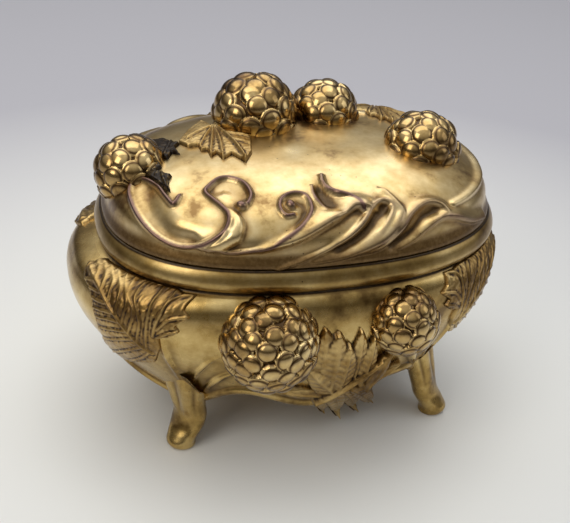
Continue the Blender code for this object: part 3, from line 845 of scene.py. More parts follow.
def grid_faces(rows: int, columns: int, wrap_rows: bool = False, wrap_columns: bool = False) -> np.ndarray:
    """Return the quads of a grid of points stored row by row, facing along columns then rows.

    Args:
        rows: Number of rows.
        columns: Number of columns.
        wrap_rows: Whether the last row joins the first.
        wrap_columns: Whether the last column joins the first.

    Returns:
        Four indices per face.
    """
    r = np.arange(rows if wrap_rows else rows - 1)[:, None]
    c = np.arange(columns if wrap_columns else columns - 1)[None, :]
    up = (r + 1) % rows
    right = (c + 1) % columns
    quad = [r * columns + c, r * columns + right, up * columns + right, up * columns + c]
    shape = (r.shape[0], c.shape[1])
    return np.stack([np.broadcast_to(part, shape) for part in quad], axis=-1).reshape(-1, 4)


def capped(grid: np.ndarray, poles: tuple[np.ndarray, np.ndarray] | None = None) -> tuple[np.ndarray, list]:
    """Close a stack of rings with a point at each end.

    Args:
        grid: The rings, one per row.
        poles: The two end points; without them, the middles of the first and the last ring.

    Returns:
        The points, the poles last, and the faces.
    """
    rows, columns = grid.shape[:2]
    first, final = poles or (grid[0].mean(axis=0), grid[-1].mean(axis=0))
    count = rows * columns
    ring = np.arange(columns)
    after = np.roll(ring, -1)
    last = count - columns
    faces = grid_faces(rows, columns, wrap_columns=True).tolist()
    faces += np.stack([np.full_like(ring, count), after, ring], axis=1).tolist()
    faces += np.stack([last + ring, last + after, np.full_like(ring, count + 1)], axis=1).tolist()
    return np.vstack([grid.reshape(-1, 3), first[None], final[None]]), faces


class Maker:
    """Turns surfaces into dressed pieces that ride on the frame."""

    def __init__(self, wardrobe: Wardrobe) -> None:
        """Keep the wardrobe.

        Args:
            wardrobe: The finishes to dress pieces in.
        """
        self.wardrobe = wardrobe

    def piece(
        self, name: str, surface: Surface, finish: Finishes, body: Body,
        replaced: tuple[str, ...] = (), weld: float = 0.0,
    ) -> bpy.types.Object:
        """Make one piece.

        Args:
            name: The piece's name.
            surface: Its points, faces and values.
            finish: What it is dressed in.
            body: The body that it rides on.
            replaced: CAD nodes that it stands for.
            weld: Distance in millimetres below which points are joined.

        Returns:
            The piece.
        """
        mesh = bpy.data.meshes.new(name)
        faces = surface.faces.tolist() if isinstance(surface.faces, np.ndarray) else surface.faces
        mesh.from_pydata(((surface.points + LID_MIDDLE) * MM).tolist(), [], faces)
        # 'hollow' carries painted shade (with some of the casting's own tone), 'crest' the crests' tarnish
        # and 'bare' the worn plate.
        for key in ("hollow", "crest", "bare"):
            values = surface.values.get(key, np.zeros(len(surface.points)))
            layer = mesh.attributes.new(key, "FLOAT", "POINT")
            layer.data.foreach_set("value", np.asarray(values, np.float32))
        mesh.materials.append(self.wardrobe.get(finish))
        mesh.shade_smooth()
        made = bpy.data.objects.new(name, mesh)
        bpy.context.scene.collection.objects.link(made)
        if weld:
            modifier = made.modifiers.new("weld", "WELD")
            modifier.merge_threshold = weld * MM
        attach(made, body.value)
        if replaced:
            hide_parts(*replaced)
        LOG.info("%s: %d points", name, len(surface.points))
        return made


def soften(values: np.ndarray, passes: int, wrap: bool) -> np.ndarray:
    """Blur a grid of values by averaging neighbours.

    Args:
        values: The grid.
        passes: How many times each value takes in its neighbours.
        wrap: Whether the columns run round and join.

    Returns:
        The blurred grid.
    """
    for _ in range(passes):
        tall = np.pad(values, ((1, 1), (0, 0)), mode="edge")
        values = 0.25 * tall[:-2] + 0.5 * tall[1:-1] + 0.25 * tall[2:]
        wide = np.pad(values, ((0, 0), (1, 1)), mode="wrap" if wrap else "edge")
        values = 0.25 * wide[:, :-2] + 0.5 * wide[:, 1:-1] + 0.25 * wide[:, 2:]
    return values


def grid_normals(points: np.ndarray, wrap: bool) -> np.ndarray:
    """Return the outward normals of a grid whose columns run anticlockwise and whose rows run up.

    Args:
        points: Points, in millimetres.
        wrap: Whether the columns run round and join.

    Returns:
        Unit normals, one per point.
    """
    if wrap:
        along = np.roll(points, -1, axis=1) - np.roll(points, 1, axis=1)
    else:
        along = np.gradient(points, axis=1)
    normal = np.cross(along, np.gradient(points, axis=0))
    return normal / np.maximum(np.linalg.norm(normal, axis=-1, keepdims=True), 1e-9)


def half_turn(points: np.ndarray) -> np.ndarray:
    """Turn points by half a turn about the upright axis."""
    return points * np.array([-1.0, -1.0, 1.0])


SCROLLS = (
    Stroke(
        (
            (180, 197), (174, 205), (166, 197), (157, 186), (144, 180), (134, 183), (130, 192), (134, 207),
            (144, 224), (158, 238), (177, 247), (197, 247), (212, 241), (225, 231), (229, 219), (225, 210),
            (213, 200), (206, 193), (208, 188), (219, 180), (231, 179), (244, 184), (251, 195), (248, 204),
        ),
        Profile.BEAD, 1.5, 0.95,
    ),
    Stroke(
        ((146, 190), (148, 206), (156, 222), (170, 234), (190, 239)),
        Profile.HOLLOW, 1.7, 4.2, (0.8, 1, 0.6),
    ),
    Stroke(((240.5, 205.5), (242, 206.5)), Profile.BEAD, 2.2, 1.8),
    Stroke(
        ((229, 212), (237, 222), (235, 234), (223, 245), (208, 250)),
        Profile.BEAD, 2.6, 2.9, (0.5, 1, 0.5), tarnish=0.2,
    ),
    Stroke(((215, 190), (224, 187), (234, 190), (240, 198)), Profile.HOLLOW, 1.2, 2.6),
    Stroke(
        (
            (197, 249), (216, 252), (231, 254), (251, 252), (270, 249), (281, 242), (298, 230), (310, 215),
            (311, 205), (305, 196), (293, 194), (282, 199), (280, 208), (286, 216), (294, 215),
        ),
        Profile.BEAD, 1.5, 0.95, (0.7, 1, 0.9),
    ),
    Stroke(((296, 203), (303, 206), (304, 216), (296, 226)), Profile.HOLLOW, 0.9, 1.8, (0.6, 1, 0.5)),
    Stroke(((290, 205), (291.5, 206)), Profile.BEAD, 2.0, 1.7),
    Stroke(
        ((321, 176), (323, 184), (335, 193), (353, 199), (363, 210)),
        Profile.BEAD, 2.2, 1.1, (0.8, 1, 1),
    ),
    Stroke(((312, 186), (316, 198), (328, 209)), Profile.BEAD, 1.5, 1.1, (0.7, 1, 0.7)),
    Stroke(((321, 191), (329, 202), (342, 208)), Profile.HOLLOW, 2.0, 2.8),
    Stroke(
        ((363, 208), (354, 207), (337, 218), (317, 230), (294, 242), (260, 253)),
        Profile.FOLD, 2.6, 2.0, (1, 0.9, 0.4), -7.0, 0.6,
    ),
    Stroke(
        (
            (277, 270), (311, 259), (342, 242), (363, 223), (373, 206), (383, 201), (392, 206), (389, 220),
            (377, 237), (363, 246),
        ),
        Profile.BEAD, 1.8, 1.4, (0.4, 1, 0.7), tarnish=0.7,
    ),
    Stroke(((340, 252), (362, 236), (377, 217), (384, 209)), Profile.HOLLOW, 1.3, 1.7),
    Stroke(
        ((384, 192), (397, 205), (402, 213), (395, 228), (380, 243), (349, 256), (315, 266)),
        Profile.FOLD, 2.5, 2.0, (0.7, 1, 0.4), -5.5, 0.7,
    ),
    Stroke(
        ((349, 258), (380, 249), (399, 231), (411, 214), (425, 204), (438, 205), (447, 213)),
        Profile.FOLD, 2.2, 1.8, (0.4, 1, 0.7), 5.0, 0.75,
    ),
    Stroke(((395, 248), (412, 232), (424, 217), (436, 212)), Profile.HOLLOW, 1.2, 1.6),
    Stroke(
        ((400, 250), (415, 241), (427, 229), (440, 218), (454, 217), (471, 221), (482, 217)),
        Profile.FOLD, 1.9, 1.6, (0.4, 1, 1), 4.5, 0.75,
    ),
)


@dataclass
class Lid:
    """The domed lid: a closed shell, with scrollwork raised on its front and repeated at the back."""

    camera: PhotoCamera
    dome: DomeForm = DomeForm()
    wall: float = 2.4
    columns: int = 1000
    rows: int = 220
    inner_rows: int = 26
    border_rise: float = 0.42
    border_reach: float = math.radians(52)
    cove: float = 0.9
    cove_height: float = 10.0
    dent: float = 0.10

    def rises(self, rows: int) -> np.ndarray:
        """Return rises from the seam to the crown, spaced evenly along the skin.

        Args:
            rows: How many rises.

        Returns:
            Rises, one per row.
        """
        fine = np.linspace(0, math.pi / 2 - 0.0006, 4000)
        out = np.cos(fine) ** (2 / self.dome.power) * (self.dome.half_length + self.dome.half_depth) / 2
        up = np.sin(fine) ** (2 / self.dome.power) * self.dome.height
        travelled = np.concatenate([[0], np.cumsum(np.hypot(np.diff(out), np.diff(up)))])
        return np.interp(np.linspace(0, travelled[-1], rows), travelled, fine)

    def border(self) -> np.ndarray:
        """Return the path of the bead that edges the right end."""
        turn = np.linspace(-self.border_reach, self.border_reach, 40)
        return self.dome.skin(turn, np.full(40, self.border_rise))

    def scrolls(self, places: np.ndarray, normals: np.ndarray) -> tuple[np.ndarray, np.ndarray]:
        """Add up the scrollwork over the lid.

        Args:
            places: Points of the plain dome.
            normals: The dome's normals.

        Returns:
            The relief and the tarnish on its crests.
        """
        paths = []
        for stroke in SCROLLS:
            path = self.dome.hit(self.camera, stroke.pixels)
            paths += [(stroke, path), (stroke, half_turn(path))]
        edge = Stroke((), Profile.FOLD, 2.0, 1.3, (0.6, 1, 0.4), 4.5, 0.3)
        paths += [(edge, self.border()), (edge, half_turn(self.border()[:17]))]
        raised = np.zeros(len(places))
        sunk = np.zeros(len(places))
        crest = np.zeros(len(places))
        for stroke, path in paths:
            height, close = stroke.relief(path, places, normals)
            raised = np.maximum(raised, height)
            sunk += np.minimum(height, 0)
            crest = np.maximum(crest, np.where(height > 0, close, 0))
        return raised + np.maximum(sunk, -1.8), crest

    def build(self, maker: Maker) -> bpy.types.Object:
        """Make the lid's shell.

        Args:
            maker: Makes and dresses what is built.

        Returns:
            The piece.
        """
        turn = np.linspace(0, 2 * math.pi, self.columns, endpoint=False)
        turns, rises = np.meshgrid(turn, self.rises(self.rows))
        skin = self.dome.skin(turns, rises)
        normals = grid_normals(skin, True)
        flat, flat_normals = skin.reshape(-1, 3), normals.reshape(-1, 3)
        relief, crest = self.scrolls(flat, flat_normals)
        cove = np.clip((flat[:, 2] - self.dome.foot - 1.0) / self.cove_height, 0, 1) ** 0.7
        relief -= self.cove * np.sin(math.pi * cove) ** 2
        hinge = ease(flat[:, 1], 40, 47) * ease(-np.abs(flat[:, 0]), -24, -18) * ease(-flat[:, 2], -92, -87)
        relief *= 1 - hinge
        relief = soften(relief.reshape(turns.shape), 2, True)
        # Painted shade: the hollow value darkens the skin where the relief sinks below its surroundings.
        hollow = np.clip((soften(relief, 40, True) - relief) / 0.75, 0, 0.9)
        # Painted reflection: the lid's foot, below 86.5 mm, is darkened as if it reflected the dim room.
        band = ease(-skin[..., 2], -86.5, -82.5)
        hollow = np.maximum(hollow, 0.7 * band)
        dents = self.dent * value_noise(flat, 7.0, 11).reshape(turns.shape)
        outer = skin + normals * (relief + dents * ease(rises, 0.02, 0.2))[..., None]
        inner_turns, inner_rises = np.meshgrid(turn, self.rises(self.inner_rows)[::-1])
        inner = self.dome.inside(self.wall).skin(inner_turns, inner_rises)
        points, faces = capped(np.concatenate([inner, outer]))
        blank = np.zeros(inner.shape[:2]).ravel()
        values = {
            "hollow": np.concatenate([blank, hollow.ravel(), [0, 0]]),
            "crest": np.concatenate([blank, crest, [0, 0]]),
        }
        surface = Surface(points, faces, values)
        return maker.piece("lid_casting", surface, Finishes.LID, Body.LID, ("lid_shell",))


@dataclass
class BodyShell:
    """The bombe body: a closed shell with a moulded rim, a rolled apron and ridges down to the legs."""

    camera: PhotoCamera
    form: BodyForm = BodyForm()
    wall: float = 2.4
    columns: int = 760
    panel_rows: int = 150
    rim_rows: int = 96
    inner_rows: int = 30
    rim_foot: float = 68.0
    neck_half_length: float = 69.0
    neck_half_depth: float = 51.0
    lip: float = 1.3
    lip_height: float = 3.4
    ridges: tuple[Stroke, ...] = (
        Stroke(
            ((162, 320), (162, 340), (168, 358), (175, 370), (180, 379)),
            Profile.BEAD, 1.3, 1.1, (0.3, 1, 0.5),
        ),
        Stroke(((219, 357), (206, 364), (197, 374), (191, 384)), Profile.BEAD, 1.3, 1.1, (0.2, 1, 0.5)),
        Stroke(((224, 363), (209, 370), (200, 380), (197, 386)), Profile.HOLLOW, 2.0, 1.9, (0.4, 1, 0.4)),
        Stroke(((240, 371), (222, 376), (211, 383), (205, 390)), Profile.BEAD, 1.6, 1.5, (0.3, 1, 0.5)),
        Stroke(((199, 303), (211, 300), (224, 303)), Profile.HOLLOW, 0.9, 1.1, (0.5, 1, 0.4)),
    )

    def ridge_paths(self) -> list[tuple[Stroke, np.ndarray]]:
        """Cast the ridges on to the front left corner and repeat them at the other three.

        Returns:
            Each ridge with its points.
        """
        paths = []
        for stroke in self.ridges:
            landed = self.form.hit(self.camera, stroke.pixels)
            for across in (1, -1):
                for deep in (1, -1):
                    turn = self.form.carry(landed[:, 0], across, deep)
                    paths.append((stroke, self.form.skin(turn, landed[:, 1])))
        return paths

    def build(self, maker: Maker) -> bpy.types.Object:
        """Make the body's shell.

        Args:
            maker: Makes and dresses what is built.

        Returns:
            The piece.
        """
        turn = np.linspace(0, 2 * math.pi, self.columns, endpoint=False)
        edge = self.form.edge(turn)
        share = np.linspace(0, 1, self.panel_rows, endpoint=False)[:, None] ** 1.25
        panel = edge + (self.rim_foot - edge) * share
        rim = np.linspace(self.rim_foot, self.form.seam, self.rim_rows)[:, None]
        rim = np.repeat(rim, self.columns, axis=1)
        heights = np.vstack([panel, rim])
        turns = np.repeat(turn[None], len(heights), axis=0)
        skin = self.form.skin(turns, heights)
        normals = grid_normals(skin, True)
        flat, flat_normals = skin.reshape(-1, 3), normals.reshape(-1, 3)
        raised = np.zeros(len(flat))
        sunk = np.zeros(len(flat))
        for stroke, path in self.ridge_paths():
            height = stroke.relief(path, flat, flat_normals)[0]
            raised = np.maximum(raised, height)
            sunk = np.minimum(sunk, height)
        relief = (raised + sunk).reshape(turns.shape)
        above = (heights - edge - self.lip_height / 2) / (self.lip_height / 2)
        lip = self.lip * ease(self.form.from_leg(turn), math.radians(3), math.radians(8))
        relief = np.maximum(relief, lip * np.sqrt(np.clip(1 - above**2, 0, 1)))
        relief = soften(relief, 2, True)
        # Painted shade where the relief sinks below its surroundings.
        hollow = np.clip((soften(relief, 40, True) - relief) / 0.5, 0, 1)
        # Painted shade: a dark line in the waist at 70 mm and under the seam, and the rim moulding above 70
        # mm a little darker.
        waist_and_seam_shade = np.exp(-(((heights - 69.9) / 0.7) ** 2)) + ease(heights, 78.2, 78.9)
        hollow = np.maximum(hollow, np.clip(waist_and_seam_shade + 0.25 * ease(heights, 69, 71), 0, 1))
        dents = 0.10 * value_noise(flat, 8.0, 5).reshape(turns.shape)
        outer = skin + normals * (relief + dents * ease(-heights, -68, -64))[..., None]
        levels = self.form.seam + (edge - self.form.seam) * np.linspace(0, 1, self.inner_rows)[:, None]
        half_length, half_depth = self.form.reach(np.cos(turn)[None], levels)
        high = levels > self.rim_foot
        half_length = np.where(high, np.minimum(half_length, self.neck_half_length), half_length) - self.wall
        half_depth = np.where(high, np.minimum(half_depth, self.neck_half_depth), half_depth) - self.wall
        inner_turns = np.repeat(turn[None], self.inner_rows, axis=0)
        level = self.form.plan.points(inner_turns, half_length, half_depth)
        inner = np.concatenate([level, levels[..., None]], axis=-1)
        points = np.vstack([outer.reshape(-1, 3), inner.reshape(-1, 3)])
        faces = grid_faces(len(heights) + self.inner_rows, self.columns, wrap_rows=True, wrap_columns=True)
        values = {"hollow": np.concatenate([hollow.ravel(), np.zeros(inner.shape[0] * inner.shape[1])])}
        surface = Surface(points, faces, values)
        return maker.piece(
            "body_casting", surface, Finishes.CASTING, Body.BOX, ("body_shell",),
        )


@dataclass(frozen=True)
class Berry:
    """A cluster of overlapping domed drupelets, each with a raised rim that carries a painted highlight,
    sunk into the casting behind it.
    """

    node: str
    body: Body
    radius: float
    centre: tuple[float, float, float]
    drupelets: int
    seed: int
    seat: Callable[[np.ndarray], np.ndarray]
    rise: float = 0.12
    rim: float = 0.03
    overlap: float = 0.66
    tilt: float = 0.35
    lean: tuple[float, float, float] = (-0.5, 0.0, 0.86)
    patina: float = 0.12
    fineness: int = 7

    def seeds(self) -> np.ndarray:
        """Return the drupelets' directions, spread over the berry and a little uneven.

        Returns:
            Unit directions, one per drupelet.
        """
        k = np.arange(self.drupelets)
        z = 1 - (2 * k + 1) / self.drupelets
        level = np.sqrt(1 - z * z)
        turn = math.pi * (3 - math.sqrt(5)) * k
        ways = np.stack([level * np.cos(turn), level * np.sin(turn), z], axis=1)
        ways += np.random.default_rng(self.seed).normal(0, 0.055, ways.shape)
        return ways / np.linalg.norm(ways, axis=1, keepdims=True)

    def build(self, maker: Maker) -> bpy.types.Object:
        """Make the berry.

        Args:
            maker: Makes and dresses what is built.

        Returns:
            The piece.
        """
        shape = bmesh.new()
        bmesh.ops.create_icosphere(shape, subdivisions=self.fineness, radius=1.0)
        ways = np.array([vertex.co[:] for vertex in shape.verts])
        faces = [[vertex.index for vertex in face.verts] for face in shape.faces]
        shape.free()
        seeds = self.seeds()
        close = ways @ seeds.T
        order = np.argsort(-close, axis=1)[:, :5]
        reach = self.overlap * math.sqrt(4 * math.pi / self.drupelets)
        uneven = np.random.default_rng(self.seed + 20).uniform(-1, 1, self.drupelets)
        swell = np.full(len(ways), -self.rise)
        # Painted shade: the gaps between the drupelets start dark.
        hollow = np.full(len(ways), 0.8)
        for rank in range(order.shape[1]):
            seed = seeds[order[:, rank]]
            apart = np.linalg.norm(ways - seed, axis=1) / reach
            lean = (ways - seed) @ np.array(self.lean) / reach
            cap = np.sqrt(np.clip(1 - apart**2, 0, 1))
            rim = np.exp(-(((1 - apart) / 0.07) ** 2))
            level = self.rise * (cap - 0.75 + self.tilt * lean) + self.rim * rim
            level = level + 0.012 * uneven[order[:, rank]]
            over = (apart < 1) & (level > swell)
            swell = np.where(over, level, swell)
            # Painted shade: a dark ring inside each drupelet's edge, over its even patina; the rim is left
            # clear as a painted highlight.
            shade = self.patina + 0.65 * np.exp(-(((1 - apart) - 0.24) / 0.12) ** 2)
            hollow = np.where(over, shade * (1 - rim), hollow)
        points = self.seat(ways * (self.radius * (0.96 + swell))[:, None] + np.array(self.centre))
        surface = Surface(points, faces, {"hollow": hollow})
        return maker.piece(
            self.node + "_cast", surface, Finishes.BERRY, self.body, (self.node,),
        )


@dataclass(frozen=True)
class LeafDrawing:
    """A leaf as it was read in the photograph: its outline, its midrib and its veins."""

    outline: Pixels
    midrib: Pixels
    veins: tuple[Pixels, ...]
    stand: float = 0.9
    crown: float = 0.8
    vein: float = 0.5
    bare: float = 0.0


def away_from(path: np.ndarray, places: np.ndarray) -> np.ndarray:
    """Return how far flat places lie from a line of points.

    Args:
        path: Points along the line.
        places: Flat places, in millimetres.

    Returns:
        Distances, one per place.
    """
    nearest = np.empty(len(places))
    for chunk in np.array_split(np.arange(len(places)), len(places) // 8000 + 1):
        gap = places[chunk][:, None, :] - path[None, :, :]
        nearest[chunk] = np.sqrt(np.einsum("ijk,ijk->ij", gap, gap).min(axis=1))
    return nearest


def within(outline: np.ndarray, places: np.ndarray) -> np.ndarray:
    """Return which flat places lie inside a closed outline.

    Args:
        outline: The outline's corners.
        places: Flat places, in millimetres.

    Returns:
        True where a place is inside.
    """
    inside = np.zeros(len(places), bool)
    for a, b in zip(outline, np.roll(outline, -1, axis=0)):
        if a[1] == b[1]:
            continue
        spans = (a[1] > places[:, 1]) != (b[1] > places[:, 1])
        crossing = a[0] + (places[:, 1] - a[1]) * (b[0] - a[0]) / (b[1] - a[1])
        inside ^= spans & (places[:, 0] < crossing)
    return inside


def outline_path(knots: np.ndarray, spacing: float) -> np.ndarray:
    """Walk round a closed outline in straight runs.

    Args:
        knots: The outline's corners.
        spacing: Distance between points.

    Returns:
        Points along the outline.
    """
    points = []
    for a, b in zip(knots, np.roll(knots, -1, axis=0)):
        count = max(2, int(np.linalg.norm(b - a) / spacing))
        points.append(a + (b - a) * np.linspace(0, 1, count, endpoint=False)[:, None])
    return np.vstack(points)


@dataclass
class Leaf:
    """A cast leaf: a blade that stands off the skin, with raised veins on a stippled ground.

    Attributes:
        drawing: What was read in the photograph.
        cast: Takes pixels to flat coordinates, in millimetres.
        lay: Takes flat coordinates and two signs to points of the skin and their normals.
        body: The body that it rides on.
        nodes: CAD nodes that it stands for, one per copy, with the signs that carry it there.
        step: Spacing of the blade's grid, in millimetres.
        sink: How far its rim goes into the skin, in millimetres.
        thick: How far its underside lies below that, in millimetres.
    """

    drawing: LeafDrawing
    cast: Callable[[Pixels], np.ndarray]
    lay: Callable[[np.ndarray, int, int], tuple[np.ndarray, np.ndarray]]
    body: Body
    nodes: tuple[tuple[str, tuple[int, int]], ...]
    step: float = 0.28
    sink: float = 0.7
    thick: float = 0.8

    def span(self) -> tuple[np.ndarray, np.ndarray]:
        """Return the lowest and highest flat coordinates of the leaf."""
        knots = self.cast(self.drawing.outline)
        return knots.min(axis=0) - 1.5, knots.max(axis=0) + 1.5

    def heights(self, places: np.ndarray) -> tuple[np.ndarray, np.ndarray, np.ndarray]:
        """Shape the blade over flat places.

        Args:
            places: Flat coordinates.

        Returns:
            Height over the skin, depth inside the outline, and how hollow each place is: its painted shade
            over a random stipple tone.
        """
        drawing = self.drawing
        knots = self.cast(drawing.outline)
        depth = away_from(outline_path(knots, 0.25), places)
        depth = np.where(within(knots, places), depth, -depth)
        blade = -self.sink + (self.sink + drawing.stand) * ease(depth, -0.35, 0.45)
        blade += drawing.crown * (1 - np.exp(-np.maximum(depth, 0) / 2.5))
        midrib = away_from(smooth_path(self.cast(drawing.midrib), 0.3), places)
        rib = np.full(len(places), 9.0)
        for vein in drawing.veins:
            rib = np.minimum(rib, away_from(smooth_path(self.cast(vein), 0.3), places))
        inside = ease(depth, 0.0, 0.6)
        ridge = np.maximum(np.exp(-((rib / 0.30) ** 2)), 1.4 * np.exp(-((midrib / 0.42) ** 2)))
        valley = np.exp(-(((np.minimum(rib, midrib * 0.8) - 0.8) / 0.4) ** 2))
        ground = value_noise(np.column_stack([places, np.zeros(len(places))]), 0.75, 3)
        blade += inside * (drawing.vein * ridge - 0.14 * valley + 0.10 * ground * (1 - np.minimum(ridge, 1)))
        rim = np.exp(-(((depth - 0.35) / 0.4) ** 2))
        blade += 0.2 * rim
        # Painted shade between the veins and in a dark line round the outline where the blade meets the
        # skin, over a random stipple tone; the rim and the veins are kept clear of it so that they show
        # bright.
        hollow = np.clip(0.75 * valley + 0.4 * ground + 0.9 * ease(-depth, -0.1, 0.4), 0, 1.1)
        hollow = hollow * (1 - 0.7 * rim)
        return blade, depth, hollow * (1 - np.minimum(ridge, 1))

    def build(self, maker: Maker) -> list[bpy.types.Object]:
        """Make the leaf and its copies.

        Args:
            maker: Makes and dresses what is built.

        Returns:
            The pieces.
        """
        low, high = self.span()
        u = np.arange(low[0], high[0], self.step)
        v = np.arange(low[1], high[1], self.step)
        places = np.stack(np.meshgrid(u, v), axis=-1).reshape(-1, 2)
        blade, depth, hollow = self.heights(places)
        field_ = blade.reshape(len(v), len(u))
        # Painted shade where the blade sinks below its surroundings.
        crevice_shade = np.clip((soften(field_, 10, False) - field_).ravel() / 0.5, 0, 1)
        hollow = np.maximum(hollow, crevice_shade)
        quads = grid_faces(len(v), len(u))
        quads = quads[(depth[quads] > -1.0).all(axis=1)]
        used, quads = np.unique(quads, return_inverse=True)
        quads = quads.reshape(-1, 4)
        count = len(used)
        sides = np.concatenate([quads[:, [k, (k + 1) % 4]] for k in range(4)])
        edges = {tuple(edge) for edge in sides.tolist()}
        border = np.array([edge for edge in edges if edge[::-1] not in edges])
        skirt = np.column_stack([border[:, 1], border[:, 0], border[:, 0] + count, border[:, 1] + count])
        faces = np.vstack([quads, quads[:, ::-1] + count, skirt])
        bare = np.full(2 * count, self.drawing.bare)
        values = {"hollow": np.concatenate([hollow[used], np.zeros(count)]), "bare": bare}
        made = []
        for node, (across, deep) in self.nodes:
            points, normals = self.lay(places[used], across, deep)
            top = points + normals * blade[used, None]
            under = points - normals * (self.sink + self.thick)
            corner, along, _, beside = quads[0]
            facing = np.cross(top[along] - top[corner], top[beside] - top[corner]) @ normals[corner]
            surface = Surface(np.vstack([top, under]), faces if facing > 0 else faces[:, ::-1], values)
            made.append(
                maker.piece(node + "_cast", surface, Finishes.LEAF, self.body, (node,)),
            )
        return made


@dataclass(frozen=True)
class Leaflet:
    """One leaflet of a spray: its stalk and tip as pixels, its half width and layer in millimetres."""

    stalk: tuple[float, float]
    tip: tuple[float, float]
    half_width: float
    layer: float


@dataclass(frozen=True)
class SprayDrawing:
    """A spray of pointed leaflets that lie over one another."""

    leaflets: tuple[Leaflet, ...]
    stand: float = 1.0
    crown: float = 0.9
    bare: float = 0.0


@dataclass
class Spray(Leaf):
    """A spray: each leaflet is arched across, pointed, ribbed by a midrib and slanting veins."""

    drawing: SprayDrawing

    def ends(self, leaflet: Leaflet) -> np.ndarray:
        """Return a leaflet's stalk and tip as flat coordinates."""
        return self.cast((leaflet.stalk, leaflet.tip))

    def span(self) -> tuple[np.ndarray, np.ndarray]:
        """Return the lowest and highest flat coordinates of the spray.

        Returns:
            The lowest and the highest corner.
        """
        ends = np.vstack([self.ends(leaflet) for leaflet in self.drawing.leaflets])
        margin = max(leaflet.half_width for leaflet in self.drawing.leaflets) + 1.5
        return ends.min(axis=0) - margin, ends.max(axis=0) + margin

    def heights(self, places: np.ndarray) -> tuple[np.ndarray, np.ndarray, np.ndarray]:
        """Lay the leaflets over one another; see the plain leaf for what is returned.

        Args:
            places: Flat places, in millimetres.

        Returns:
            Height over the skin, depth inside the outline, and how hollow each place is.
        """
        blade = np.full(len(places), -self.sink)
        depth = np.full(len(places), -9.0)
        hollow = np.zeros(len(places))
        for leaflet in self.drawing.leaflets:
            stalk, tip = self.ends(leaflet)
            run = tip - stalk
            length = np.hypot(*run)
            along = (places - stalk) @ run / length**2
            across = np.abs((places - stalk) @ np.array([-run[1], run[0]])) / length
            inside = np.clip(along, 0, 1)
            width = leaflet.half_width * np.sin(math.pi * inside**0.72) ** 0.75 + 0.01
            past = np.maximum(0, along - 1) + np.maximum(0, -along)
            edge = width - across - past * length
            arch = np.sqrt(np.clip(1 - (across / width) ** 2, 0, 1))
            slant = np.cos(2 * math.pi * (along * length - 1.1 * across) / 2.9)
            midrib = np.exp(-((across / 0.34) ** 2))
            fall = np.minimum(1, 2 * (1 - inside) + 0.3)
            top = self.drawing.stand + leaflet.layer + self.drawing.crown * arch * fall
            top = top + 0.6 * midrib + 0.09 * slant * (1 - midrib)
            lifted = -self.sink + (self.sink + top) * ease(edge, -0.3, 0.3)
            over = lifted > blade
            blade = np.where(over, lifted, blade)
            depth = np.maximum(depth, edge)
            # Painted shade in the troughs between the slanting veins and along each leaflet's edge.
            shade = 0.18 * np.clip(-slant, 0, 1) * (1 - midrib) + 0.8 * ease(-edge, -0.1, 0.4)
            hollow = np.where(over, shade, hollow)
        return blade, depth, np.clip(hollow, 0, 1.1)


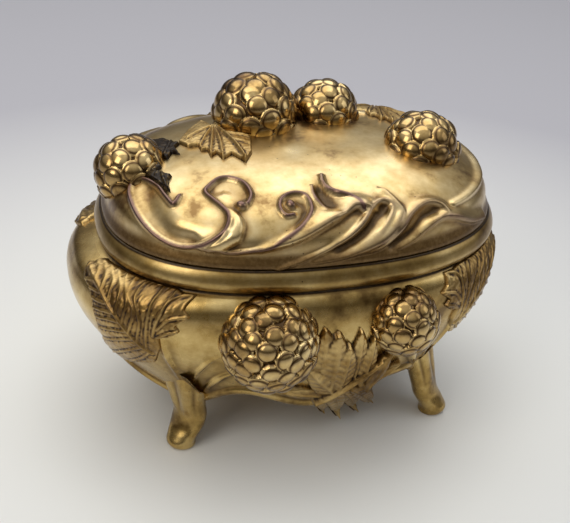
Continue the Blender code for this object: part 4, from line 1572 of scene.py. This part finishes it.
@dataclass(frozen=True)
class Leg:
    """A cabriole leg on the diagonal: a ridged shin, a toe kicked out, and a knee sunk in the apron."""

    form: BodyForm = BodyForm()
    foot: tuple[float, float] = (48.0, 33.8)
    shin: tuple[tuple[float, float, float, float], ...] = (
        (0.0, 0.4, 4.5, 4.7),
        (0.8, 0.9, 5.0, 5.2),
        (2.6, 1.2, 5.1, 5.4),
        (5.2, -0.2, 4.9, 6.0),
        (8.5, -2.3, 4.7, 6.8),
        (12.5, -3.5, 4.6, 7.2),
    )
    knee: tuple[tuple[float, float, float], ...] = (
        (17.5, 4.8, 7.4),
        (21.5, 5.0, 8.0),
        (26.0, 5.3, 9.2),
        (31.0, 5.2, 10.0),
        (36.0, 4.4, 9.0),
    )
    knee_sunk: tuple[float, float] = (5.9, 8.6)
    buried: float = 2.0
    around: int = 96
    along: int = 130
    corners: tuple[tuple[str, int, int], ...] = (
        ("leg_front_left", -1, -1), ("leg_front_right", 1, -1),
        ("leg_back_left", -1, 1), ("leg_back_right", 1, 1),
    )

    def path(self, across: int) -> np.ndarray:
        """Run a line down a leg, from its sole to its top, which is sunk in the skin.

        Args:
            across: Sign of the end that the leg stands at.

        Returns:
            Height, distance out, depth and width along the leg.
        """
        reach = float(np.hypot(*self.foot))
        way = np.array(self.foot) / reach
        stations = [(height, reach + out, deep, wide) for height, out, deep, wide in self.shin]
        top = self.knee[-2][0]
        half_length, half_depth = self.form.reach(np.array([across]), np.array([top]))
        skin = 1 / self.form.plan.spread(way[0], way[1], half_length[0], half_depth[0])
        ankle = stations[-1][:2]
        for height, deep, wide in self.knee:
            out = np.interp(height, [ankle[0], top], [ankle[1], skin - self.knee_sunk[across > 0]])
            stations.append((height, out, deep, wide))
        run = smooth_path(np.array(stations), 0.3)
        return run[np.linspace(0, len(run) - 1, self.along).astype(int)]

    def surface(self, across: int, toward: int) -> Surface:
        """Shape one leg.

        Args:
            across: Sign of the end that it stands at.
            toward: Sign of the side that it stands at.

        Returns:
            The leg's closed surface.
        """
        height, out, deep, wide = self.path(across).T[:, :, None]
        turn = np.linspace(0, 2 * math.pi, self.around, endpoint=False)[None, :]
        folded = np.abs(np.arctan2(np.sin(turn), np.cos(turn)))
        strength = ease(height, 11.0, 20.0) * (1 - 0.6 * ease(height, 26.0, 33.0))
        ridge = 0.09 * np.exp(-(((folded - 0.42) / 0.24) ** 2)) - 0.10 * np.exp(-((folded / 0.17) ** 2))
        ridge = ridge - 0.08 * np.exp(-(((folded - 0.95) / 0.16) ** 2))
        section = 1 + ridge * strength
        way = np.array(self.foot) / np.hypot(*self.foot)
        reach = out + deep * np.cos(turn) * section
        half_length, half_depth = self.form.reach(np.array([across]), height)
        skin = 1 / self.form.plan.spread(way[0], way[1], half_length, half_depth)
        buried = ease(height, 24.0, 29.0)
        reach = np.maximum(reach, buried * (skin - self.buried) + (1 - buried) * reach)
        slide = wide * np.sin(turn) * section
        x = across * (way[0] * reach - way[1] * slide)
        y = toward * (way[1] * reach + way[0] * slide)
        grid = np.stack([x, y, np.maximum(0.0, np.broadcast_to(height, x.shape))], axis=-1)
        points, faces = capped(grid)
        if across * toward < 0:
            faces = [face[::-1] for face in faces]
        # Painted shade along the creases of the shin.
        crease_shade = (np.exp(-((folded / 0.14) ** 2)) + np.exp(-(((folded - 0.95) / 0.14) ** 2))) * strength
        hollow = np.concatenate([(0.6 * crease_shade * np.ones_like(x)).ravel(), [0, 0]])
        return Surface(points, faces, {"hollow": hollow})

    def build(self, maker: Maker) -> list[bpy.types.Object]:
        """Make the four legs.

        Args:
            maker: Makes and dresses what is built.

        Returns:
            The pieces.
        """
        made = []
        for node, across, toward in self.corners:
            shape = self.surface(across, toward)
            made.append(
                maker.piece(node + "_cast", shape, Finishes.CASTING, Body.BOX, (node,)),
            )
        return made


CORNER_LEAF = LeafDrawing(
    outline=(
        (89.7, 261.6), (86.6, 280), (91, 288), (93.6, 297.5), (95, 307), (97.5, 316), (100, 325),
        (103.8, 332), (107, 341), (113, 347.5), (122.5, 354), (138, 360), (157, 360), (161.6, 347.5),
        (159, 337), (169, 337), (180, 332), (175.6, 325.6), (190.5, 318), (185, 310), (198, 294.5),
        (185, 293), (177, 288), (160, 283), (138, 275.6), (119, 266), (107, 258.4), (99, 261.6),
    ),
    midrib=((92, 268), (102, 288), (115, 310), (127, 326), (141, 341), (154, 351)),
    veins=(
        ((99, 281), (101, 270), (100, 262)),
        ((105, 294), (108, 278), (107, 261)),
        ((111, 303), (115, 285), (114, 266)),
        ((118, 312), (122, 292), (122, 270)),
        ((124, 321), (129, 300), (130, 275)),
        ((131, 330), (135, 310), (138, 279)),
        ((139, 339), (141, 318), (147, 284)), ((148, 345), (148, 325), (156, 300), (166, 287)),
        ((154, 334), (160, 316), (175, 300), (194, 295)), ((156, 322), (166, 306), (179, 291)),
        ((158, 328), (170, 319), (186, 317)), ((159, 336), (168, 332), (178, 331)),
        ((99, 283), (93, 280), (87, 279)),
        ((104, 293), (97, 290), (91, 287)),
        ((110, 303), (101, 300), (93, 296)),
        ((116, 312), (106, 309), (96, 306)),
        ((122, 320), (111, 317), (98, 314)),
        ((129, 329), (117, 327), (101, 324)),
        ((136, 336), (124, 336), (106, 335)),
        ((144, 344), (134, 346), (116, 348)),
        ((151, 350), (143, 355), (132, 358)),
    ),
    vein=0.42,
)
SPRAY_LEAF = SprayDrawing(
    (
        Leaflet((318, 391), (278, 388), 3.0, 0.2),
        Leaflet((316, 384), (323, 412), 2.8, 0.1),
        Leaflet((326, 382), (338, 416), 3.4, 0.9),
        Leaflet((338, 384), (356, 410), 3.2, 0.4),
        Leaflet((349, 383), (369, 400), 3.0, 1.1),
        Leaflet((320, 388), (325, 327), 3.6, 0.0),
        Leaflet((329, 384), (339, 331), 2.8, 0.7),
        Leaflet((332, 390), (306, 364), 3.0, 1.0),
        Leaflet((337, 384), (349, 342), 3.0, 1.3),
        Leaflet((349, 382), (361, 328), 3.2, 0.3),
        Leaflet((357, 380), (373, 333), 2.7, 1.0),
        Leaflet((362, 384), (389, 347), 2.8, 1.6),
        Leaflet((350, 388), (399, 358), 2.6, 0.6),
        Leaflet((312, 396), (384, 352), 1.3, 2.0),
    ),
)
TOP_LEAF = LeafDrawing(
    outline=(
        (202, 123), (214, 129), (231, 131), (251, 138), (252, 154), (246, 163), (232, 155), (223, 160),
        (217, 154),
        (211, 158), (207, 151), (201, 152), (198, 146.5), (188, 148), (179, 144), (188, 133),
    ),
    midrib=((214, 129.5), (232, 144), (246, 161)),
    veins=(
        ((214, 129.5), (220, 144), (223, 158)), ((214, 129.5), (211, 156)), ((214, 129.5), (199, 151)),
        ((214, 129.5), (188, 142)), ((232, 144), (250, 147)), ((222, 137), (248, 140)),
    ),
    stand=1.2,
    vein=0.8,
    bare=0.36,
)
DARK_LEAF = LeafDrawing(
    outline=(
        (153, 143), (165, 141), (172, 144), (180, 144.5), (175, 149), (180, 155), (172, 154), (168, 160),
        (163, 159), (160, 163), (162, 168), (156, 172), (165, 175), (172, 176.5), (169, 181), (169, 186),
        (171, 193), (164, 189), (158, 184), (152, 180), (143, 176), (149, 164), (145, 154),
    ),
    midrib=((172, 145), (165, 160), (163, 175), (168, 190)),
    veins=(
        ((165, 160), (149, 156)), ((163, 172), (147, 173)),
        ((167, 155), (178, 150)), ((164, 168), (157, 178)),
    ),
    stand=1.2,
    bare=0.62,
)


@dataclass
class Foliage:
    """All the leaves: one at each corner, a spray under the berries of each side, and three on the lid."""

    camera: PhotoCamera
    body: BodyForm = BodyForm()
    dome: DomeForm = DomeForm()
    round_scale: float = 66.0
    right_shift: float = math.radians(4)
    right_leaf: tuple[float, float] = (69.0, 23.0)

    def on_body(self, pixels: Pixels) -> np.ndarray:
        """Cast pixels on to the body as millimetres round it and up."""
        return self.body.hit(self.camera, pixels) * np.array([self.round_scale, 1.0])

    def lay_body(self, places: np.ndarray, across: int, deep: int) -> tuple[np.ndarray, np.ndarray]:
        """Lay flat places on the body, at the corner that two signs name."""
        turn = self.body.carry(places[:, 0] / self.round_scale, across, deep)
        return self.body.point_and_normal(turn, places[:, 1])

    def lay_corner(self, places: np.ndarray, across: int, deep: int) -> tuple[np.ndarray, np.ndarray]:
        """Lay flat places at a corner, where the leaves of the right end lie nearer the middle.

        Args:
            places: Flat coordinates.
            across: Sign of the end.
            deep: Sign of the side.

        Returns:
            Points of the skin, and their normals.
        """
        turn = self.body.carry(places[:, 0] / self.round_scale, across, deep)
        nearer = self.right_shift * deep if across < 0 else 0.0
        return self.body.point_and_normal(turn - nearer, places[:, 1])

    def on_dome(self, pixels: Pixels) -> np.ndarray:
        """Cast pixels on to the dome as its plan."""
        return self.dome.hit(self.camera, pixels)[:, :2]

    def on_dome_right(self, pixels: Pixels) -> np.ndarray:
        """Cast pixels on to the dome, moved to the leaf beside the right berries."""
        return self.on_dome(pixels) + np.array(self.right_leaf)

    def lay_dome(self, places: np.ndarray, across: int, deep: int) -> tuple[np.ndarray, np.ndarray]:
        """Lay plan places on the dome, mirrored by two signs."""
        return self.dome.point_and_normal(places[:, 0] * across, places[:, 1] * deep)

    def build(self, maker: Maker) -> list[bpy.types.Object]:
        """Make every leaf.

        Args:
            maker: Makes the pieces.

        Returns:
            The leaves.
        """
        corners = (
            ("corner_leaf_front_left", (1, 1)), ("corner_leaf_front_right", (-1, 1)),
            ("corner_leaf_back_left", (1, -1)), ("corner_leaf_back_right", (-1, -1)),
        )
        sprays = (("front_leaf_spray", (1, 1)), ("back_leaf_spray", (-1, -1)))
        made = Leaf(CORNER_LEAF, self.on_body, self.lay_corner, Body.BOX, corners).build(maker)
        made += Spray(SPRAY_LEAF, self.on_body, self.lay_body, Body.BOX, sprays).build(maker)
        for node, drawing, cast in (
            ("lid_leaf_top", TOP_LEAF, self.on_dome),
            ("lid_leaf_left", DARK_LEAF, self.on_dome),
            ("lid_leaf_right", TOP_LEAF, self.on_dome_right),
        ):
            made += Leaf(drawing, cast, self.lay_dome, Body.LID, ((node, (1, 1)),)).build(maker)
        return made


@dataclass
class Fruit:
    """All the berries, where the CAD model has them."""

    body: BodyForm = BodyForm()
    dome: DomeForm = DomeForm()
    sunk: float = 1.2
    large: tuple[float, float, float] = (17.0, -22.5, 54.5)
    small: tuple[float, float, float] = (12.5, 24.0, 57.0)
    lid: tuple[tuple[str, float, float, float, float, int], ...] = (
        ("lid_berry_top_left", 16.0, -12.0, 17.5, 2.8, 60),
        ("lid_berry_top_right", 13.7, 15.8, 22.0, -0.2, 54),
        ("lid_berry_right", 14.4, 43.4, -8.6, -1.6, 58),
        ("lid_berry_left", 13.2, -59.5, 0.0, -1.5, 48),
    )

    def front(self, x: float, height: float) -> float:
        """Return how far forward the body's front lies.

        Args:
            x: Places along the length.
            height: Heights over the floor.

        Returns:
            The front's place across the depth.
        """
        half_length, half_depth = self.body.reach(np.array([x]), np.array([height]))
        power = self.body.plan.power
        return -half_depth[0] * (1 - abs(x / half_length[0]) ** power) ** (1 / power)

    def on_front(self, points: np.ndarray) -> np.ndarray:
        """Flatten the back of a berry of the front so that it ends inside the body's wall.

        Args:
            points: Points, in millimetres.

        Returns:
            The flattened points.
        """
        half_length, half_depth = self.body.reach(points[:, 0], points[:, 2])
        power = self.body.plan.power
        across = np.clip(np.abs(points[:, 0] / half_length), 0, 1)
        face = -half_depth * (1 - across**power) ** (1 / power)
        return np.column_stack([points[:, 0], np.minimum(points[:, 1], face + self.sunk), points[:, 2]])

    def on_back(self, points: np.ndarray) -> np.ndarray:
        """Flatten a berry of the back in the same way."""
        flipped = points * np.array([1.0, -1.0, 1.0])
        return self.on_front(flipped) * np.array([1.0, -1.0, 1.0])

    def on_lid(self, points: np.ndarray) -> np.ndarray:
        """Flatten the underside of a berry of the lid so that it ends inside the lid's wall."""
        least = self.dome.over(points[:, 0], points[:, 1]) - self.sunk
        return np.column_stack([points[:, :2], np.maximum(points[:, 2], least)])

    def build(self, maker: Maker) -> list[bpy.types.Object]:
        """Make every berry.

        Args:
            maker: Makes and dresses what is built.

        Returns:
            The pieces.
        """
        made = []
        for row, flip, seat in (("front", 1, self.on_front), ("back", -1, self.on_back)):
            for kind, (radius, x, height), seed in (("large", self.large, 1), ("small", self.small, 2)):
                centre = (x * flip, self.front(x * flip, height) * flip, height)
                drupelets = 92 if kind == "large" else 62
                berry = Berry(f"{row}_berry_{kind}", Body.BOX, radius, centre, drupelets, seed, seat)
                made.append(berry.build(maker))
        for seed, (node, radius, x, y, lift, drupelets) in enumerate(self.lid, start=3):
            height = self.dome.over(np.array([x]), np.array([y]))[0] + lift
            berry = Berry(node, Body.LID, radius, (x, y, height), drupelets, seed, self.on_lid)
            made.append(berry.build(maker))
        return made


@dataclass
class Padding:
    """The silk inside: a puckered wall, a crowned cushion on the floor, and a quilted pad in the lid."""

    body: BodyForm = BodyForm()
    dome: DomeForm = DomeForm()
    wall: float = 2.4
    columns: int = 360
    floor: float = 31.2
    pucker_count: int = 44
    pad_back: float = 2.8
    pad_face: float = 5.6
    quilt: float = 6.0

    def band(self, maker: Maker) -> bpy.types.Object:
        """Make the wall's lining: a puffed band, gathered by puckers at its top and foot.

        Args:
            maker: Makes and dresses what is built.

        Returns:
            The piece.
        """
        turn = np.linspace(0, 2 * math.pi, self.columns, endpoint=False)
        around = np.linspace(0, 2 * math.pi, 64, endpoint=False)
        turns, round_ = np.meshgrid(turn, around)
        low, high = self.floor + 0.6, self.body.seam - 3.4
        heights = (low + high) / 2 + (high - low) / 2 * np.sin(round_)
        half_length, half_depth = self.body.reach(np.cos(turns), heights)
        high_up = ease(heights, 60, 66)
        half_length = half_length + (np.minimum(half_length, 68.6) - half_length) * high_up
        half_depth = half_depth + (np.minimum(half_depth, 50.6) - half_depth) * high_up
        gather = np.cos(self.pucker_count * turns) * (0.25 + 0.75 * np.abs(np.sin(round_)) ** 6)
        thick = 1.0 + 0.9 * np.abs(np.cos(round_)) ** 0.6 + 0.28 * gather
        inset = self.wall + 1.6 + np.where(np.cos(round_) > 0, 0.0, thick)
        level = self.body.plan.points(turns, half_length - inset, half_depth - inset)
        points = np.concatenate([level, heights[..., None]], axis=-1).reshape(-1, 3)
        faces = grid_faces(64, self.columns, wrap_rows=True, wrap_columns=True)
        return maker.piece(
            "silk_wall", Surface(points, faces), Finishes.SILK, Body.BOX, ("wall_lining",),
        )

    def cushion(self, maker: Maker) -> bpy.types.Object:
        """Make the floor cushion: crowned, rounded at its edge, pulled in by buttons.

        Args:
            maker: Makes and dresses what is built.

        Returns:
            The piece.
        """
        rows = 90
        turn = np.linspace(0, 2 * math.pi, self.columns, endpoint=False)
        lap = np.linspace(0, 1, rows)
        turns, laps = np.meshgrid(turn, lap)
        angle = laps * math.pi
        spread = np.sin(angle) ** 0.42
        rise = -np.cos(angle)
        half_length, half_depth = self.body.reach(np.cos(turns), np.full_like(turns, self.floor + 2))
        inset = self.wall + 4.6
        level = self.body.plan.points(turns, (half_length - inset) * spread, (half_depth - inset) * spread)
        crown = np.where(rise > 0, 6.0 + 3.0 * np.clip(1 - spread**2, 0, 1), 0.6)
        tuft = np.zeros_like(laps)
        for x in (-33.0, 0.0, 33.0):
            for y in (-17.0, 17.0):
                shift = 16.5 if y > 0 else 0.0
                apart = np.hypot(level[..., 0] - x - shift + 8, level[..., 1] - y)
                tuft += np.exp(-((apart / 5.0) ** 2)) + 0.3 * np.exp(-((apart / 11.0) ** 2))
        puffed = crown * rise - 3.4 * tuft * np.maximum(rise, 0)
        height = self.floor + 3.0 + np.where(rise > 0, puffed, 2.6 * rise)
        points = np.concatenate([level, np.maximum(height, self.floor)[..., None]], axis=-1)
        return maker.piece(
            "silk_cushion", self.closed(points), Finishes.SILK, Body.BOX, ("floor_cushion",),
            weld=0.02,
        )

    def closed(self, grid: np.ndarray) -> Surface:
        """Close rings whose first and last have shrunk to almost nothing, which become the poles."""
        return Surface(*capped(grid[1:-1], (grid[0].mean(axis=0), grid[-1].mean(axis=0))))

    def pad(self, maker: Maker) -> bpy.types.Object:
        """Make the lid's pad: a quilted cap inside the dome.

        Args:
            maker: Makes and dresses what is built.

        Returns:
            The piece.
        """
        rows = 60
        turn = np.linspace(0, 2 * math.pi, self.columns, endpoint=False)
        start = math.radians(14)
        climb = np.linspace(math.pi / 2 - 0.01, start, rows)
        turns, climbs = np.meshgrid(turn, climb)
        inner = self.dome.inside(self.pad_face).skin(turns, climbs)
        x, y = inner[..., 0] / self.quilt, inner[..., 1] / self.quilt
        puff = 0.9 * np.abs(np.sin(x + y) * np.sin(x - y)) ** 0.6
        raised = (puff * ease(climbs, start, start + 0.2))[..., None]
        inner = inner - grid_normals(inner[::-1], True)[::-1] * raised
        outer = self.dome.inside(self.pad_back).skin(turns, climbs[::-1])
        grid = np.concatenate([inner, outer])
        return maker.piece(
            "silk_lid_pad", self.closed(grid), Finishes.SILK, Body.LID, ("lid_pad",),
        )

    def build(self, maker: Maker) -> list[bpy.types.Object]:
        """Make the lining.

        Args:
            maker: Makes and dresses what is built.

        Returns:
            The pieces.
        """
        made = [self.band(maker), self.cushion(maker), self.pad(maker)]
        return made


@dataclass
class Hardware:
    """The plain metal parts that keep their CAD shape: the hinge and the plate that closes the base."""

    nodes: tuple[str, ...] = ("hinge_body_leaf", "hinge_lid_leaf", "hinge_pin", "base_plate")

    def dress(self, frame: dict, wardrobe: Wardrobe) -> None:
        """Give each part drawn brass.

        Args:
            frame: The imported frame.
            wardrobe: The finishes.
        """
        for node in self.nodes:
            for slot in frame["nodes"][node].material_slots:
                slot.material = wardrobe.get(Finishes.HARDWARE)
            LOG.info("%s: dressed", node)


@dataclass
class Studio:
    """A pale floor under soft lights, in a room that is bright above and dim at eye level."""

    floor_near: str = "#DEDED9"
    floor_far: str = "#AEADB2"
    wall: str = "#BABAC1"
    floor_size: float = 1.6

    def floor(self) -> bpy.types.Object:
        """Make the floor: a wide round sheet, paler near the box.

        Returns:
            The floor.
        """
        mesh = bpy.data.meshes.new("studio_floor")
        shape = bmesh.new()
        bmesh.ops.create_circle(shape, cap_ends=True, radius=self.floor_size, segments=96)
        shape.to_mesh(mesh)
        shape.free()
        floor = bpy.data.objects.new("studio_floor", mesh)
        bpy.context.scene.collection.objects.link(floor)
        material = bpy.data.materials.new("floor_honed_stone")
        material.use_nodes = True
        tree = material.node_tree
        shader = tree.nodes["Principled BSDF"]
        place = add_node(tree, "ShaderNodeTexCoord").outputs["Object"]
        away = add_node(tree, "ShaderNodeVectorMath", {0: place}, operation="LENGTH").outputs["Value"]
        tone = ramp(tree, away, ((0.10, linear(self.floor_near)), (0.32, linear(self.floor_far))))
        tree.links.new(tone, shader.inputs["Base Color"])
        shader.inputs["Roughness"].default_value = 0.45
        shader.inputs["Specular IOR Level"].default_value = 0.3
        mesh.materials.append(material)
        return floor

    def light(self, name: str, place: tuple, size: tuple, power: float, colour: str = "#FFFFFF") -> None:
        """Hang one soft light that faces the box.

        Args:
            name: The light's name.
            place: Where it hangs, in metres.
            size: Its width and height, in metres.
            power: Its power, in watts.
            colour: Its colour.
        """
        lamp = bpy.data.lights.new(name, "AREA")
        lamp.shape = "RECTANGLE"
        lamp.size, lamp.size_y = size
        lamp.energy = power
        lamp.color = linear(colour)[:3]
        hung = bpy.data.objects.new(name, lamp)
        bpy.context.scene.collection.objects.link(hung)
        hung.location = place
        aim = Vector((0, 0, 0.05)) - Vector(place)
        hung.rotation_euler = aim.to_track_quat("-Z", "Y").to_euler()

    def room(self) -> None:
        """Set the room: what the metal reflects, with a plain pale wall behind."""
        world = bpy.data.worlds.new("studio_room")
        world.use_nodes = True
        bpy.context.scene.world = world
        tree = world.node_tree
        way = add_node(tree, "ShaderNodeTexCoord").outputs["Generated"]
        up = add_node(tree, "ShaderNodeSeparateXYZ", {"Vector": way}).outputs["Z"]
        tone = ramp(tree, up, (
            (0.0, linear("#5C5650")), (0.18, linear("#4A4540")),
            (0.45, linear("#A7A5A3")), (0.9, linear("#E6E8EC")),
        ))
        sight = add_node(tree, "ShaderNodeLightPath").outputs["Is Camera Ray"]
        seen = add_node(
            tree, "ShaderNodeMix", {0: sight, 6: tone, 7: linear(self.wall)}, data_type="RGBA",
        ).outputs[2]
        tree.links.new(seen, tree.nodes["Background"].inputs["Color"])

    def build(self) -> None:
        """Set up the floor, the lights and the room."""
        self.floor()
        self.light("skylight", (0.0, 0.30, 0.78), (1.1, 0.9), 4.6)
        self.light("window", (-0.55, -0.35, 0.55), (0.4, 0.5), 1.8, "#FFF8EE")
        self.light("fill", (0.60, -0.20, 0.35), (0.4, 0.4), 0.5, "#EEF3FF")
        self.room()
        bpy.context.scene.view_settings.view_transform = "Standard"


def main() -> None:
    """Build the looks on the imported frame, piece by piece."""
    logging.basicConfig(level=logging.INFO, format="%(message)s")
    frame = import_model()
    camera = PhotoCamera()
    camera.build()
    wardrobe = Wardrobe()
    maker = Maker(wardrobe)
    Lid(camera).build(maker)
    BodyShell(camera).build(maker)
    Leg().build(maker)
    Foliage(camera).build(maker)
    Fruit().build(maker)
    Padding().build(maker)
    Hardware().dress(frame, wardrobe)
    Studio().build()


if __name__ == "__main__":
    main()
